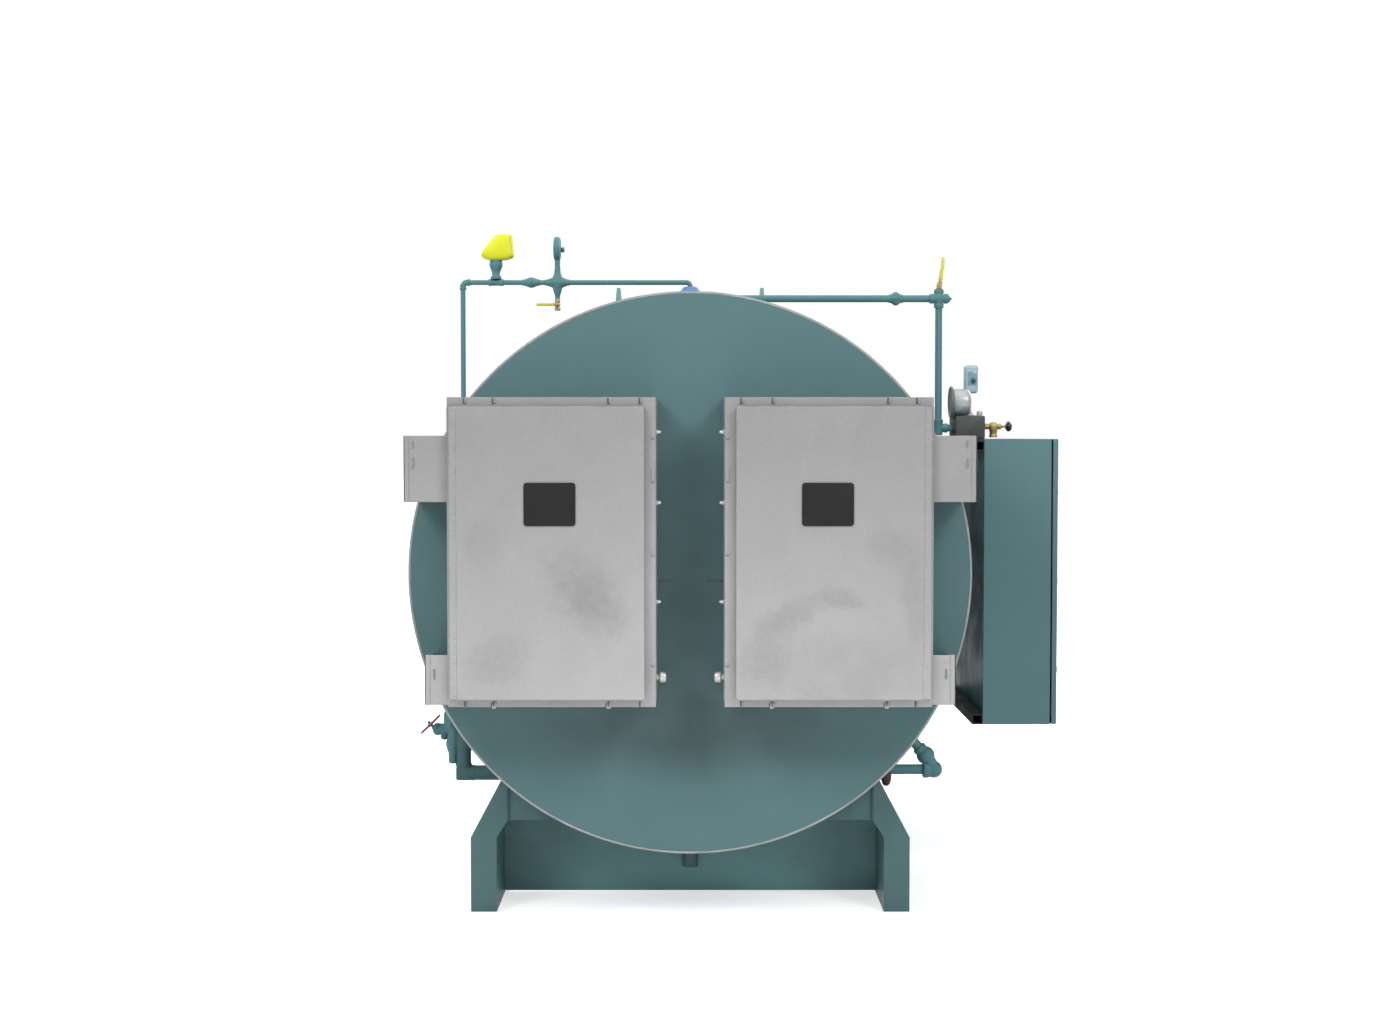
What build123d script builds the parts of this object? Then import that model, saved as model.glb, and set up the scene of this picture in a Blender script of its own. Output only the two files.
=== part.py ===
from build123d import *
import math
import os

os.makedirs("parts", exist_ok=True)

# Frame: millimetres, origin on the floor under the middle of the vessel,
# X across, Y along the vessel from the front end (-Y) to the rear, Z up.

# Vessel
vessel_length = 2000
jacket_radius = 831
wall = 63
floor_clearance = 212
cover_thickness = 12
rim_reach = 7
rim_skirt = 42

# Fits
seat_gap = 0.3
cut_over = 1
pin_clearance = 0.4

# Saddle base
saddle_angle = 42.6
leg_overhang = 107.5
leg_width = 79
leg_plate = 10
leg_setback = 120
leg_depth = 265
shoulder_drop = 203
shoulder_land = 4.5
inner_knee_rise = 51
web_bottom = 6
cradle_setback = 12
anchor_plate = 14
anchor_reach = 90
anchor_hole_radius = 11

# Terminal enclosures on the front cover
box_inner_x = 98
box_width = 592
box_drop = 362
box_rise = 520
box_depth = 250
sheet = 3
lip = 34
door_side_inset = 32
door_foot_inset = 23
door_head_inset = 26
door_gap = 5
door_depth = 18
door_corner = 4
knuckle_radius = 6
knuckle_sides = 12
knuckle_count = 9
knuckle_gap = 1
knuckle_clear = 2
hinge_standoff = 3
pin_radius = 3
leaf = 3

# Clamps, lock knobs and screw ends on the enclosures
clamp_width = 14
clamp_reach = 13
clamp_depth = 16
latch_height = 48
inner_clamps = (44, 135)
outer_clamps = (130, 45)
side_clamps = (121, 438, 769)
latch_place = 660
knob_setback = 45
lock_place = 80
lock_stem_radius = 9
lock_stem = 8
lock_radius = 16
lock_length = 22
screw_places = (297, 581, 783)
screw_radius = 5
screw_length = 14

# Brackets between the enclosures and the vessel
bracket_setback = 4
bracket_clear = 15
upper_bracket_low = 222
upper_bracket_high = 411
upper_bracket_length = 330
upper_bracket_lift = 16
lower_bracket_clear = 9
lower_bracket_low = 357
lower_bracket_high = 213

# Heating element heads inside the enclosures
flange_half = 118
flange_corner = 30
flange_thickness = 28
hub_radius = 78
hub_thickness = 20
stud_radius = 5
stud_length = 46
stud_circle = 52
stud_count = 3
head_spacing = 410

# Control cabinet
cabinet_clear = 110
cabinet_depth = 215
cabinet_drop = 517
cabinet_rise = 400
cabinet_setback = 450
cabinet_width = 762
cabinet_lip = 26
cabinet_door_depth = 16
cabinet_knuckle_count = 7
panel_thickness = 4
panel_margin = 60
panel_standoff = 22
post_inset = 30
post_radius = 8
rail_width = 34
rail_height = 32
rail_wall = 3
rail_inset = 6
standoff_thickness = 8
standoff_height = 90
standoff_front = 470
standoff_rear = 90
standoff_bite = 60

# Top connection and the small pipe to the left
pipe_setback = 650
small_pipe = 7.5
main_pipe = 11.6
top_nozzle_radius = 30
nozzle_rise = 47
cap_radius = 37
cap_height = 22
cap_edge = 5
left_run_rise = 14
left_drop_rise = 445
drop_clear = 46
shell_bite = 10
vent_step = 109
union_step = 115
gauge_step = 87
collar_radius = 13
collar_length = 54
union_radius = 17
union_length = 28
entry_radius = 14
entry_length = 26

# Vent valve and hood
vent_foot = 9.5
vent_flare = 21.5
vent_height = 58
vent_neck = 24
hood_left = 46
hood_right = 63
hood_crown_left = 9
hood_crown_right = 56
hood_height = 86
hood_skirt = 12
hood_waist_left = 27
hood_waist_right = 39
hood_half = 34
hood_edge = 6

# Gauge and drain cock on the small pipe
stem_radius = 8
dial_rise = 111
dial_radius = 38
dial_depth = 22
dial_sides = 24
dial_knob_radius = 9
dial_knob = 13
reducer_radius = 11
reducer_length = 40
nut_radius = 9
nut_length = 39
lever_height = 19
lever_pin = 4
lever_pin_length = 26
lever_offset = 20
lever_thickness = 4
drain_lever_reach = 68
lever_heel = 8
lever_root = 7
lever_tip = 4

# Pipe to the right, test cock, gauge and switch group
right_run_rise = 30
right_drop_gap = 49
right_drop_lift = 36
right_union_step = 142
right_union_radius = 21
right_union_length = 42
cross_radius = 17
cross_arm = 28
plug_radius = 12
plug_length = 14
test_nut_radius = 11
test_nut_length = 26
test_pin_height = 12
test_lever_knee = 33
test_lever_bend = 48
test_lever_reach = 95
test_lever_offset = 10
manifold_inset = 74
manifold_width = 103
manifold_height = 75
manifold_front = 45
manifold_back = 140
manifold_corner = 6
gauge_radius = 43
gauge_width = 70
bezel_radius = 53
bezel_width = 10
gauge_lead = 11
gauge_rise = 45
switch_inset = 47
switch_width = 45
switch_half = 22
switch_lift = 70
switch_height = 95
switch_setback = 95
switch_stem = 11
petcock_drop = 34
petcock_radius = 12
petcock_length = 48
petcock_outlet = 30
petcock_outlet_radius = 8
petcock_outlet_drop = 36
petcock_stem = 34
knob_radius = 15
knob_sides = 16
knob_gap = 22
knob_length = 20

# Low connections
low_setback = 500
drain_pipe = 21
drain_run_rise = 149
drain_riser_inset = 96
drain_valve_step = 35
drain_valve_rise = 95
riser_socket = 26
socket_half = 25
branch_radius = 22
valve_radius = 20
valve_tip = 13.5
valve_drop = 64
port_radius = 10
port_length = 40
port_step = 12
bonnet_radius = 16.5
bonnet_rise = 47
bonnet_inner = 4
bonnet_length = 60
wheel_stem = 5
stem_angle = 46
hub_out = 72
hub_rise = 63
stem_reach = 30
stem_past = 12
wheel_radius = 44
wheel_sides = 32
wheel_rim = 8
wheel_hub = 12
wheel_spoke = 7
wheel_thickness = 10
feed_pipe = 16.7
feed_bite = 30
feed_run_rise = 160
feed_turn_inset = 43
feed_knee_inset = 61
feed_knee_rise = 58
feed_collar = 26
feed_collar_length = 56
feed_collar_past = 20
feed_knee_collar = 24
feed_knee_length = 40
feed_plug_inset = 195
feed_plug_radius = 16
feed_plug_drop = 52
bottom_coupling_setback = 300
bottom_coupling_radius = 25
bottom_coupling_bore = 13
bottom_coupling_drop = 111
bottom_coupling_bore_depth = 60

# Lifting lugs
lug_x = 248
lug_thickness = 24
lug_length = 130
lug_rise = 90
lug_taper = 70
lug_hole_radius = 20
lug_hole_drop = 42
lug_bite = 30

front_y = -vessel_length / 2
rear_y = vessel_length / 2
vessel_bottom = floor_clearance
axis_height = vessel_bottom + jacket_radius
vessel_top = axis_height + jacket_radius
rim_radius = jacket_radius + rim_reach
pipe_y = front_y + pipe_setback
low_y = front_y + low_setback


def front_plane(y):
    return Plane(origin=(0, y, 0), x_dir=(1, 0, 0), z_dir=(0, -1, 0))


def side_plane(x):
    return Plane(origin=(x, 0, 0), x_dir=(0, 1, 0), z_dir=(1, 0, 0))


def surface_x(height):
    return math.sqrt(jacket_radius**2 - (height - axis_height) ** 2)


def surface_z(x):
    return axis_height + math.sqrt(jacket_radius**2 - x**2)


def rod(start, axis, radius, length, mode=Mode.ADD):
    with BuildSketch(Plane(origin=start, z_dir=axis)) as outline:
        Circle(radius)
    extrude(outline.sketch, amount=length, mode=mode)


def prism(start, axis, radius, length, sides=6, mode=Mode.ADD, across_corners=True):
    with BuildSketch(Plane(origin=start, z_dir=axis)) as outline:
        RegularPolygon(radius, sides, major_radius=across_corners)
    extrude(outline.sketch, amount=length, mode=mode)


def bar(x, y, z, mode=Mode.ADD):
    with BuildSketch(Plane.XY.offset(z[0])) as outline:
        with Locations(((x[0] + x[1]) / 2, (y[0] + y[1]) / 2)):
            Rectangle(abs(x[1] - x[0]), abs(y[1] - y[0]))
    extrude(outline.sketch, amount=z[1] - z[0], mode=mode)


def plate(points, y, depth, mode=Mode.ADD):
    with BuildSketch(front_plane(y)) as outline:
        with BuildLine():
            Polyline(*points, close=True)
        make_face()
    extrude(outline.sketch, amount=-depth, mode=mode)


def tube(points, radius):
    with BuildLine() as path:
        Polyline(*points)
    with BuildSketch(Plane(origin=path.line @ 0, z_dir=path.line % 0)) as ring:
        Circle(radius)
    sweep(ring.sketch, path=path.line, transition=Transition.RIGHT)


def clear_of_vessel(radius=jacket_radius):
    with BuildSketch(front_plane(front_y)) as outline:
        with Locations((0, axis_height)):
            Circle(radius + seat_gap)
    extrude(outline.sketch, amount=-vessel_length, mode=Mode.SUBTRACT)


def knuckle_spans(bottom, top, count, first):
    pitch = (top - bottom) / count
    spans = []
    for i in range(first, count, 2):
        spans.append((bottom + i * pitch + knuckle_gap / 2, pitch - knuckle_gap))
    return spans


# Vessel jacket, end covers and edge rims
with BuildPart() as shell_jacket:
    with BuildSketch(front_plane(front_y + cover_thickness)):
        with Locations((0, axis_height)):
            Circle(jacket_radius)
            Circle(jacket_radius - wall, mode=Mode.SUBTRACT)
    extrude(amount=-(vessel_length - 2 * cover_thickness))
shell_jacket.part.label = "shell_jacket"
export_step(shell_jacket.part, "parts/shell_jacket.step")

for end, end_y, inward in (("front", front_y, 1), ("rear", rear_y, -1)):
    with BuildPart() as cover:
        with BuildSketch(front_plane(end_y)):
            with Locations((0, axis_height)):
                Circle(jacket_radius)
        extrude(amount=-inward * cover_thickness)
    cover.part.label = f"{end}_cover"
    export_step(cover.part, f"parts/{end}_cover.step")

    with BuildPart() as rim:
        with BuildSketch(front_plane(end_y)):
            with Locations((0, axis_height)):
                Circle(rim_radius)
                Circle(jacket_radius + seat_gap, mode=Mode.SUBTRACT)
        extrude(amount=-inward * rim_skirt)
    rim.part.label = f"{end}_rim"
    export_step(rim.part, f"parts/{end}_rim.step")

# Saddle base: box legs whose shoulders meet the vessel, cross webs and cradle plates
saddle_turn = math.radians(saddle_angle)
shoulder_x = jacket_radius * math.sin(saddle_turn)
shoulder_height = axis_height - jacket_radius * math.cos(saddle_turn)
leg_outer_x = shoulder_x + leg_overhang
leg_inner_x = leg_outer_x - leg_width
knee_height = shoulder_height - shoulder_drop
inner_shoulder_x = shoulder_x - shoulder_land
inner_knee_height = knee_height + inner_knee_rise
for end, inward in (("front", 1), ("rear", -1)):
    leg_front = inward * (front_y + leg_setback)
    leg_back = leg_front + inward * leg_depth
    leg_near = min(leg_front, leg_back)
    for side, s in (("left", -1), ("right", 1)):
        leg_outline = [
            (s * leg_outer_x, 0),
            (s * leg_outer_x, knee_height),
            (s * shoulder_x, shoulder_height),
            (s * inner_shoulder_x, shoulder_height),
            (s * inner_shoulder_x, inner_knee_height),
            (s * leg_inner_x, knee_height),
            (s * leg_inner_x, 0),
        ]
        leg_hollow = [
            (s * (leg_outer_x - leg_plate), 0),
            (s * (leg_outer_x - leg_plate), knee_height - leg_plate),
            (s * (leg_inner_x + leg_plate), knee_height - leg_plate),
            (s * (leg_inner_x + leg_plate), 0),
        ]
        anchor_x = s * (leg_outer_x + leg_inner_x) / 2
        anchor_y = leg_back + inward * anchor_reach / 2
        with BuildPart() as leg:
            plate(leg_outline, leg_near, leg_depth)
            plate(leg_hollow, leg_near + leg_plate, leg_depth - 2 * leg_plate, Mode.SUBTRACT)
            clear_of_vessel()
            bar(
                (s * leg_inner_x, s * leg_outer_x),
                (leg_back, leg_back + inward * anchor_reach),
                (0, anchor_plate),
            )
            rod(
                (anchor_x, anchor_y, -cut_over),
                (0, 0, 1),
                anchor_hole_radius,
                anchor_plate + 2 * cut_over,
                Mode.SUBTRACT,
            )
        leg.part.label = f"{end}_{side}_leg"
        export_step(leg.part, f"parts/{end}_{side}_leg.step")

    web_near = min(leg_back, leg_back - inward * leg_plate)
    with BuildPart() as web:
        web_outline = [
            (-leg_inner_x, web_bottom),
            (-leg_inner_x, knee_height),
            (-inner_shoulder_x, inner_knee_height),
            (-inner_shoulder_x, shoulder_height),
            (inner_shoulder_x, shoulder_height),
            (inner_shoulder_x, inner_knee_height),
            (leg_inner_x, knee_height),
            (leg_inner_x, web_bottom),
        ]
        plate(web_outline, web_near, leg_plate)
        clear_of_vessel()
    web.part.label = f"{end}_web"
    export_step(web.part, f"parts/{end}_web.step")

with BuildPart() as cradle_plates:
    for inward in (1, -1):
        cradle_front = inward * (front_y + leg_setback + cradle_setback)
        cradle_near = min(cradle_front, cradle_front + inward * leg_plate)
        cradle_outline = [
            (-inner_shoulder_x, inner_knee_height),
            (-inner_shoulder_x, shoulder_height),
            (inner_shoulder_x, shoulder_height),
            (inner_shoulder_x, inner_knee_height),
        ]
        plate(cradle_outline, cradle_near, leg_plate)
    clear_of_vessel()
cradle_plates.part.label = "cradle_plates"
export_step(cradle_plates.part, "parts/cradle_plates.step")

# Terminal enclosures, one each side of the middle of the front cover
box_outer_x = box_inner_x + box_width
box_bottom = axis_height - box_drop
box_top = axis_height + box_rise
box_front = front_y - box_depth
door_inner_x = box_inner_x + door_side_inset
door_bottom = box_bottom + door_foot_inset
door_top = box_top - door_head_inset
door_back = box_front - door_gap
door_front = door_back - door_depth
hinge_x = box_outer_x - knuckle_radius
hinge_y = box_front - knuckle_radius - hinge_standoff
door_edge_x = hinge_x - knuckle_radius - knuckle_clear
up = (0, 0, 1)
for side, s in (("left", -1), ("right", 1)):
    with BuildPart() as enclosure:
        bar((s * box_inner_x, s * box_outer_x), (box_front, front_y), (box_bottom, box_top))
        bar(
            (s * (box_inner_x + sheet), s * (box_outer_x - sheet)),
            (box_front + sheet, front_y - sheet),
            (box_bottom + sheet, box_top - sheet),
            Mode.SUBTRACT,
        )
        bar(
            (s * (box_inner_x + lip), s * (box_outer_x - lip)),
            (box_front - cut_over, box_front + sheet + cut_over),
            (box_bottom + lip, box_top - lip),
            Mode.SUBTRACT,
        )
        for start, length in knuckle_spans(door_bottom, door_top, knuckle_count, 0):
            prism((s * hinge_x, hinge_y, start), up, knuckle_radius, length, knuckle_sides)
            bar((s * (hinge_x - leaf), s * (hinge_x + leaf)), (hinge_y, box_front), (start, start + length))
        prism((s * hinge_x, hinge_y, door_bottom), up, pin_radius, door_top - door_bottom)
    enclosure.part.label = f"{side}_enclosure"
    export_step(enclosure.part, f"parts/{side}_enclosure.step")

    with BuildPart() as door:
        door_x = (s * door_inner_x, s * door_edge_x)
        bar(door_x, (door_front, door_back), (door_bottom, door_top))
        chamfer(door.edges().filter_by(Axis.Y), length=door_corner)
        bar(
            (s * (door_inner_x + sheet), s * (door_edge_x - sheet)),
            (door_front + sheet, door_back + cut_over),
            (door_bottom + sheet, door_top - sheet),
            Mode.SUBTRACT,
        )
        for start, length in knuckle_spans(door_bottom, door_top, knuckle_count, 1):
            prism((s * hinge_x, hinge_y, start), up, knuckle_radius, length, knuckle_sides)
            leaf_x = (s * (door_edge_x - sheet), s * hinge_x)
            bar(leaf_x, (hinge_y - leaf, hinge_y + leaf), (start, start + length))
        prism(
            (s * hinge_x, hinge_y, door_bottom - cut_over),
            up,
            pin_radius + pin_clearance,
            door_top - door_bottom + 2 * cut_over,
            knuckle_sides,
            Mode.SUBTRACT,
            False,
        )
    door.part.label = f"{side}_door"
    export_step(door.part, f"parts/{side}_door.step")

    bracket_front = box_front + bracket_setback
    bracket_rear = bracket_front + upper_bracket_length
    upper_bottom = axis_height + upper_bracket_low
    upper_top = axis_height + upper_bracket_high
    upper_x = surface_x(upper_bottom) + bracket_clear
    lower_bottom = axis_height - lower_bracket_low
    lower_top = axis_height - lower_bracket_high
    lower_x = surface_x(lower_bottom) + lower_bracket_clear
    with BuildPart() as brackets:
        bar((s * box_outer_x, s * upper_x), (bracket_front, bracket_front + sheet), (upper_bottom, upper_top))
        with BuildSketch(side_plane(s * upper_x - (sheet if s > 0 else 0))):
            with BuildLine():
                Polyline(
                    (bracket_front, upper_bottom),
                    (bracket_front, upper_top),
                    (bracket_rear, upper_top + upper_bracket_lift),
                    (bracket_rear, upper_bottom),
                    close=True,
                )
            make_face()
        extrude(amount=sheet)
        bar(
            (s * surface_x(upper_top), s * upper_x),
            (bracket_rear - sheet, bracket_rear),
            (upper_bottom + upper_bracket_lift, upper_top - upper_bracket_lift),
        )
        bar((s * box_outer_x, s * lower_x), (bracket_front, bracket_front + sheet), (lower_bottom, lower_top))
        bar((s * (lower_x - sheet), s * lower_x), (bracket_front, front_y), (lower_bottom, lower_top))
        clear_of_vessel(rim_radius)
    brackets.part.label = f"{side}_brackets"
    export_step(brackets.part, f"parts/{side}_brackets.step")

    with BuildPart() as element_heads:
        head_x = s * (box_inner_x + box_outer_x) / 2
        flange_y = front_y - sheet
        hub_y = flange_y - flange_thickness
        stud_y = hub_y - hub_thickness
        for k in (-1, 1):
            head_z = (box_bottom + box_top) / 2 + k * head_spacing / 2
            with BuildSketch(front_plane(flange_y)) as flange:
                with Locations((head_x, head_z)):
                    Rectangle(2 * flange_half, 2 * flange_half)
                chamfer(flange.vertices(), length=flange_corner)
            extrude(flange.sketch, amount=flange_thickness)
            prism((head_x, hub_y, head_z), (0, -1, 0), hub_radius, hub_thickness)
            for i in range(stud_count):
                turn = math.radians(i * 360 / stud_count)
                stud_x = head_x + stud_circle * math.cos(turn)
                stud_z = head_z + stud_circle * math.sin(turn)
                prism((stud_x, stud_y, stud_z), (0, -1, 0), stud_radius, stud_length)
    element_heads.part.label = f"{side}_element_heads"
    export_step(element_heads.part, f"parts/{side}_element_heads.step")

# Clamps and latches on the lips of both enclosures
with BuildPart() as enclosure_clamps:
    clamp_y = (box_front - clamp_depth, box_front)
    side_spans = [(place, clamp_width) for place in side_clamps] + [(latch_place, latch_height)]
    for s in (-1, 1):
        clamp_middles = [box_inner_x + place for place in inner_clamps]
        clamp_middles += [box_outer_x - place for place in outer_clamps]
        for middle in clamp_middles:
            near = s * (middle - clamp_width / 2)
            far = s * (middle + clamp_width / 2)
            bar((near, far), clamp_y, (box_top - clamp_reach, box_top))
            bar((near, far), clamp_y, (box_bottom, box_bottom + clamp_reach))
        for place, height in side_spans:
            low = box_bottom + place - height / 2
            bar((s * box_inner_x, s * (box_inner_x + clamp_reach)), clamp_y, (low, low + height))
enclosure_clamps.part.label = "enclosure_clamps"
export_step(enclosure_clamps.part, "parts/enclosure_clamps.step")

# Round lock knob and screw ends on the inner sides of the enclosures
with BuildPart() as side_knobs:
    knob_y = box_front + knob_setback
    for s in (-1, 1):
        lock_z = box_bottom + lock_place
        toward = (-s, 0, 0)
        prism((s * box_inner_x, knob_y, lock_z), toward, lock_stem_radius, lock_stem)
        prism((s * (box_inner_x - lock_stem), knob_y, lock_z), toward, lock_radius, lock_length, knob_sides)
        for place in screw_places:
            prism((s * box_inner_x, knob_y, box_bottom + place), toward, screw_radius, screw_length)
side_knobs.part.label = "side_knobs"
export_step(side_knobs.part, "parts/side_knobs.step")

# Control cabinet on the right-hand side
cabinet_inner_x = jacket_radius + cabinet_clear
cabinet_outer_x = cabinet_inner_x + cabinet_depth
cabinet_bottom = axis_height - cabinet_drop
cabinet_top = axis_height + cabinet_rise
cabinet_front = front_y + cabinet_setback
cabinet_rear = cabinet_front + cabinet_width
cabinet_hinge_x = cabinet_outer_x + knuckle_radius + hinge_standoff
cabinet_hinge_y = cabinet_rear - knuckle_radius
cabinet_door_inner = cabinet_outer_x + door_gap
cabinet_door_outer = cabinet_door_inner + cabinet_door_depth
cabinet_door_edge = cabinet_hinge_y - knuckle_radius - knuckle_clear
with BuildPart() as cabinet:
    bar((cabinet_inner_x, cabinet_outer_x), (cabinet_front, cabinet_rear), (cabinet_bottom, cabinet_top))
    bar(
        (cabinet_inner_x + sheet, cabinet_outer_x - sheet),
        (cabinet_front + sheet, cabinet_rear - sheet),
        (cabinet_bottom + sheet, cabinet_top - sheet),
        Mode.SUBTRACT,
    )
    bar(
        (cabinet_outer_x - sheet - cut_over, cabinet_outer_x + cut_over),
        (cabinet_front + cabinet_lip, cabinet_rear - cabinet_lip),
        (cabinet_bottom + cabinet_lip, cabinet_top - cabinet_lip),
        Mode.SUBTRACT,
    )
    for start, length in knuckle_spans(cabinet_bottom, cabinet_top, cabinet_knuckle_count, 0):
        prism((cabinet_hinge_x, cabinet_hinge_y, start), up, knuckle_radius, length, knuckle_sides)
        bar(
            (cabinet_outer_x, cabinet_hinge_x),
            (cabinet_hinge_y - leaf, cabinet_hinge_y + leaf),
            (start, start + length),
        )
    prism((cabinet_hinge_x, cabinet_hinge_y, cabinet_bottom), up, pin_radius, cabinet_top - cabinet_bottom)
cabinet.part.label = "cabinet"
export_step(cabinet.part, "parts/cabinet.step")

with BuildPart() as cabinet_door:
    bar(
        (cabinet_door_inner, cabinet_door_outer),
        (cabinet_front, cabinet_door_edge),
        (cabinet_bottom, cabinet_top),
    )
    chamfer(cabinet_door.edges().filter_by(Axis.X), length=door_corner)
    bar(
        (cabinet_door_inner - cut_over, cabinet_door_outer - sheet),
        (cabinet_front + sheet, cabinet_door_edge - sheet),
        (cabinet_bottom + sheet, cabinet_top - sheet),
        Mode.SUBTRACT,
    )
    for start, length in knuckle_spans(cabinet_bottom, cabinet_top, cabinet_knuckle_count, 1):
        prism((cabinet_hinge_x, cabinet_hinge_y, start), up, knuckle_radius, length, knuckle_sides)
        bar(
            (cabinet_hinge_x - leaf, cabinet_hinge_x + leaf),
            (cabinet_door_edge - sheet, cabinet_hinge_y),
            (start, start + length),
        )
    prism(
        (cabinet_hinge_x, cabinet_hinge_y, cabinet_bottom - cut_over),
        up,
        pin_radius + pin_clearance,
        cabinet_top - cabinet_bottom + 2 * cut_over,
        knuckle_sides,
        Mode.SUBTRACT,
        False,
    )
cabinet_door.part.label = "cabinet_door"
export_step(cabinet_door.part, "parts/cabinet_door.step")

with BuildPart() as cabinet_panel:
    panel_x = cabinet_inner_x + sheet + panel_standoff
    panel_y = (cabinet_front + panel_margin, cabinet_rear - panel_margin)
    panel_z = (cabinet_bottom + panel_margin, cabinet_top - panel_margin)
    bar((panel_x, panel_x + panel_thickness), panel_y, panel_z)
    for y in (panel_y[0] + post_inset, panel_y[1] - post_inset):
        for z in (panel_z[0] + post_inset, panel_z[1] - post_inset):
            prism((cabinet_inner_x + sheet, y, z), (1, 0, 0), post_radius, panel_standoff)
cabinet_panel.part.label = "cabinet_panel"
export_step(cabinet_panel.part, "parts/cabinet_panel.step")

rail_x = (cabinet_inner_x - rail_width, cabinet_inner_x)
rail_bottoms = (cabinet_bottom, cabinet_top - rail_height - rail_inset)
with BuildPart() as cabinet_rails:
    for z in rail_bottoms:
        bar(rail_x, (cabinet_front, cabinet_rear), (z, z + rail_height))
        bar(
            (rail_x[0] + rail_wall, rail_x[1] - rail_wall),
            (cabinet_front - cut_over, cabinet_rear + cut_over),
            (z + rail_wall, z + rail_height - rail_wall),
            Mode.SUBTRACT,
        )
cabinet_rails.part.label = "cabinet_rails"
export_step(cabinet_rails.part, "parts/cabinet_rails.step")

with BuildPart() as cabinet_standoffs:
    for z in rail_bottoms:
        shell_end = surface_x(z + rail_height / 2) - standoff_bite
        standoff_outline = [
            (shell_end, z),
            (rail_x[0], z),
            (rail_x[0], z + rail_height),
            (shell_end, z + standoff_height),
        ]
        for y in (cabinet_front + standoff_front, cabinet_rear - standoff_rear):
            plate(standoff_outline, y, standoff_thickness)
    clear_of_vessel()
cabinet_standoffs.part.label = "cabinet_standoffs"
export_step(cabinet_standoffs.part, "parts/cabinet_standoffs.step")

# Top connection and the small pipe to the left
nozzle_top = vessel_top + nozzle_rise
cap_top = nozzle_top + cap_height
left_run_height = cap_top + left_run_rise
left_drop_end = axis_height + left_drop_rise
left_end_x = surface_x(left_drop_end)
left_drop_x = left_end_x + drop_clear
vent_x = left_drop_x - vent_step
union_x = vent_x - union_step
gauge_cross_x = union_x - gauge_step
with BuildPart() as top_nozzle:
    prism((0, pipe_y, vessel_top + seat_gap), up, top_nozzle_radius, nozzle_rise - seat_gap, knob_sides)
top_nozzle.part.label = "top_nozzle"
export_step(top_nozzle.part, "parts/top_nozzle.step")

with BuildPart() as nozzle_cap:
    prism((0, pipe_y, nozzle_top), up, cap_radius, cap_height)
    chamfer(nozzle_cap.faces().sort_by(Axis.Z)[-1].edges(), length=cap_edge)
nozzle_cap.part.label = "nozzle_cap"
export_step(nozzle_cap.part, "parts/nozzle_cap.step")

with BuildPart() as left_line:
    tube(
        [
            (0, pipe_y, cap_top),
            (0, pipe_y, left_run_height),
            (-left_drop_x, pipe_y, left_run_height),
            (-left_drop_x, pipe_y, left_drop_end),
            (-left_end_x + shell_bite, pipe_y, left_drop_end),
        ],
        small_pipe,
    )
    for x in (gauge_cross_x, vent_x):
        prism((-x - collar_length / 2, pipe_y, left_run_height), (1, 0, 0), collar_radius, collar_length, 8)
    prism((-union_x - union_length / 2, pipe_y, left_run_height), (1, 0, 0), union_radius, union_length)
    prism((-left_end_x - entry_length / 2, pipe_y, left_drop_end), (1, 0, 0), entry_radius, entry_length)
    clear_of_vessel()
left_line.part.label = "left_line"
export_step(left_line.part, "parts/left_line.step")

vent_seat = left_run_height + collar_radius
vent_top = vent_seat + vent_height
with BuildPart() as vent_valve:
    prism((-vent_x, pipe_y, vent_seat), up, vent_foot, vent_height, 8, across_corners=False)
    flare_foot = vent_seat + vent_neck
    prism((-vent_x, pipe_y, flare_foot), up, vent_flare, vent_top - flare_foot, 8, across_corners=False)
vent_valve.part.label = "vent_valve"
export_step(vent_valve.part, "parts/vent_valve.step")

with BuildPart() as vent_hood:
    plate(
        [
            (-vent_x - hood_left, vent_top + hood_skirt),
            (-vent_x - hood_crown_left, vent_top + hood_height),
            (-vent_x + hood_crown_right, vent_top + hood_height),
            (-vent_x + hood_right, vent_top + hood_skirt),
            (-vent_x + hood_waist_right, vent_top),
            (-vent_x - hood_waist_left, vent_top),
        ],
        pipe_y - hood_half,
        2 * hood_half,
    )
    chamfer(vent_hood.edges().group_by(Axis.Z)[-1], length=hood_edge)
vent_hood.part.label = "vent_hood"
export_step(vent_hood.part, "parts/vent_hood.step")

dial_z = left_run_height + dial_rise
with BuildPart() as line_gauge:
    stem_start = left_run_height + collar_radius
    prism((-gauge_cross_x, pipe_y, stem_start), up, stem_radius, dial_rise - collar_radius - dial_radius / 2)
    prism((-gauge_cross_x - dial_depth / 2, pipe_y, dial_z), (1, 0, 0), dial_radius, dial_depth, dial_sides)
    prism((-gauge_cross_x + dial_depth / 2, pipe_y, dial_z), (1, 0, 0), dial_knob_radius, dial_knob)
line_gauge.part.label = "line_gauge"
export_step(line_gauge.part, "parts/line_gauge.step")

cock_top = left_run_height - collar_radius
nut_bottom = cock_top - reducer_length - nut_length
drain_pin_z = nut_bottom + lever_height
with BuildPart() as drain_cock:
    reducer_bottom = cock_top - reducer_length
    prism((-gauge_cross_x, pipe_y, reducer_bottom), up, reducer_radius, reducer_length, across_corners=False)
    prism((-gauge_cross_x, pipe_y, nut_bottom), up, nut_radius, nut_length, across_corners=False)
    prism((-gauge_cross_x, pipe_y, drain_pin_z), (0, -1, 0), lever_pin, lever_pin_length, knuckle_sides)
drain_cock.part.label = "drain_cock"
export_step(drain_cock.part, "parts/drain_cock.step")

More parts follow.
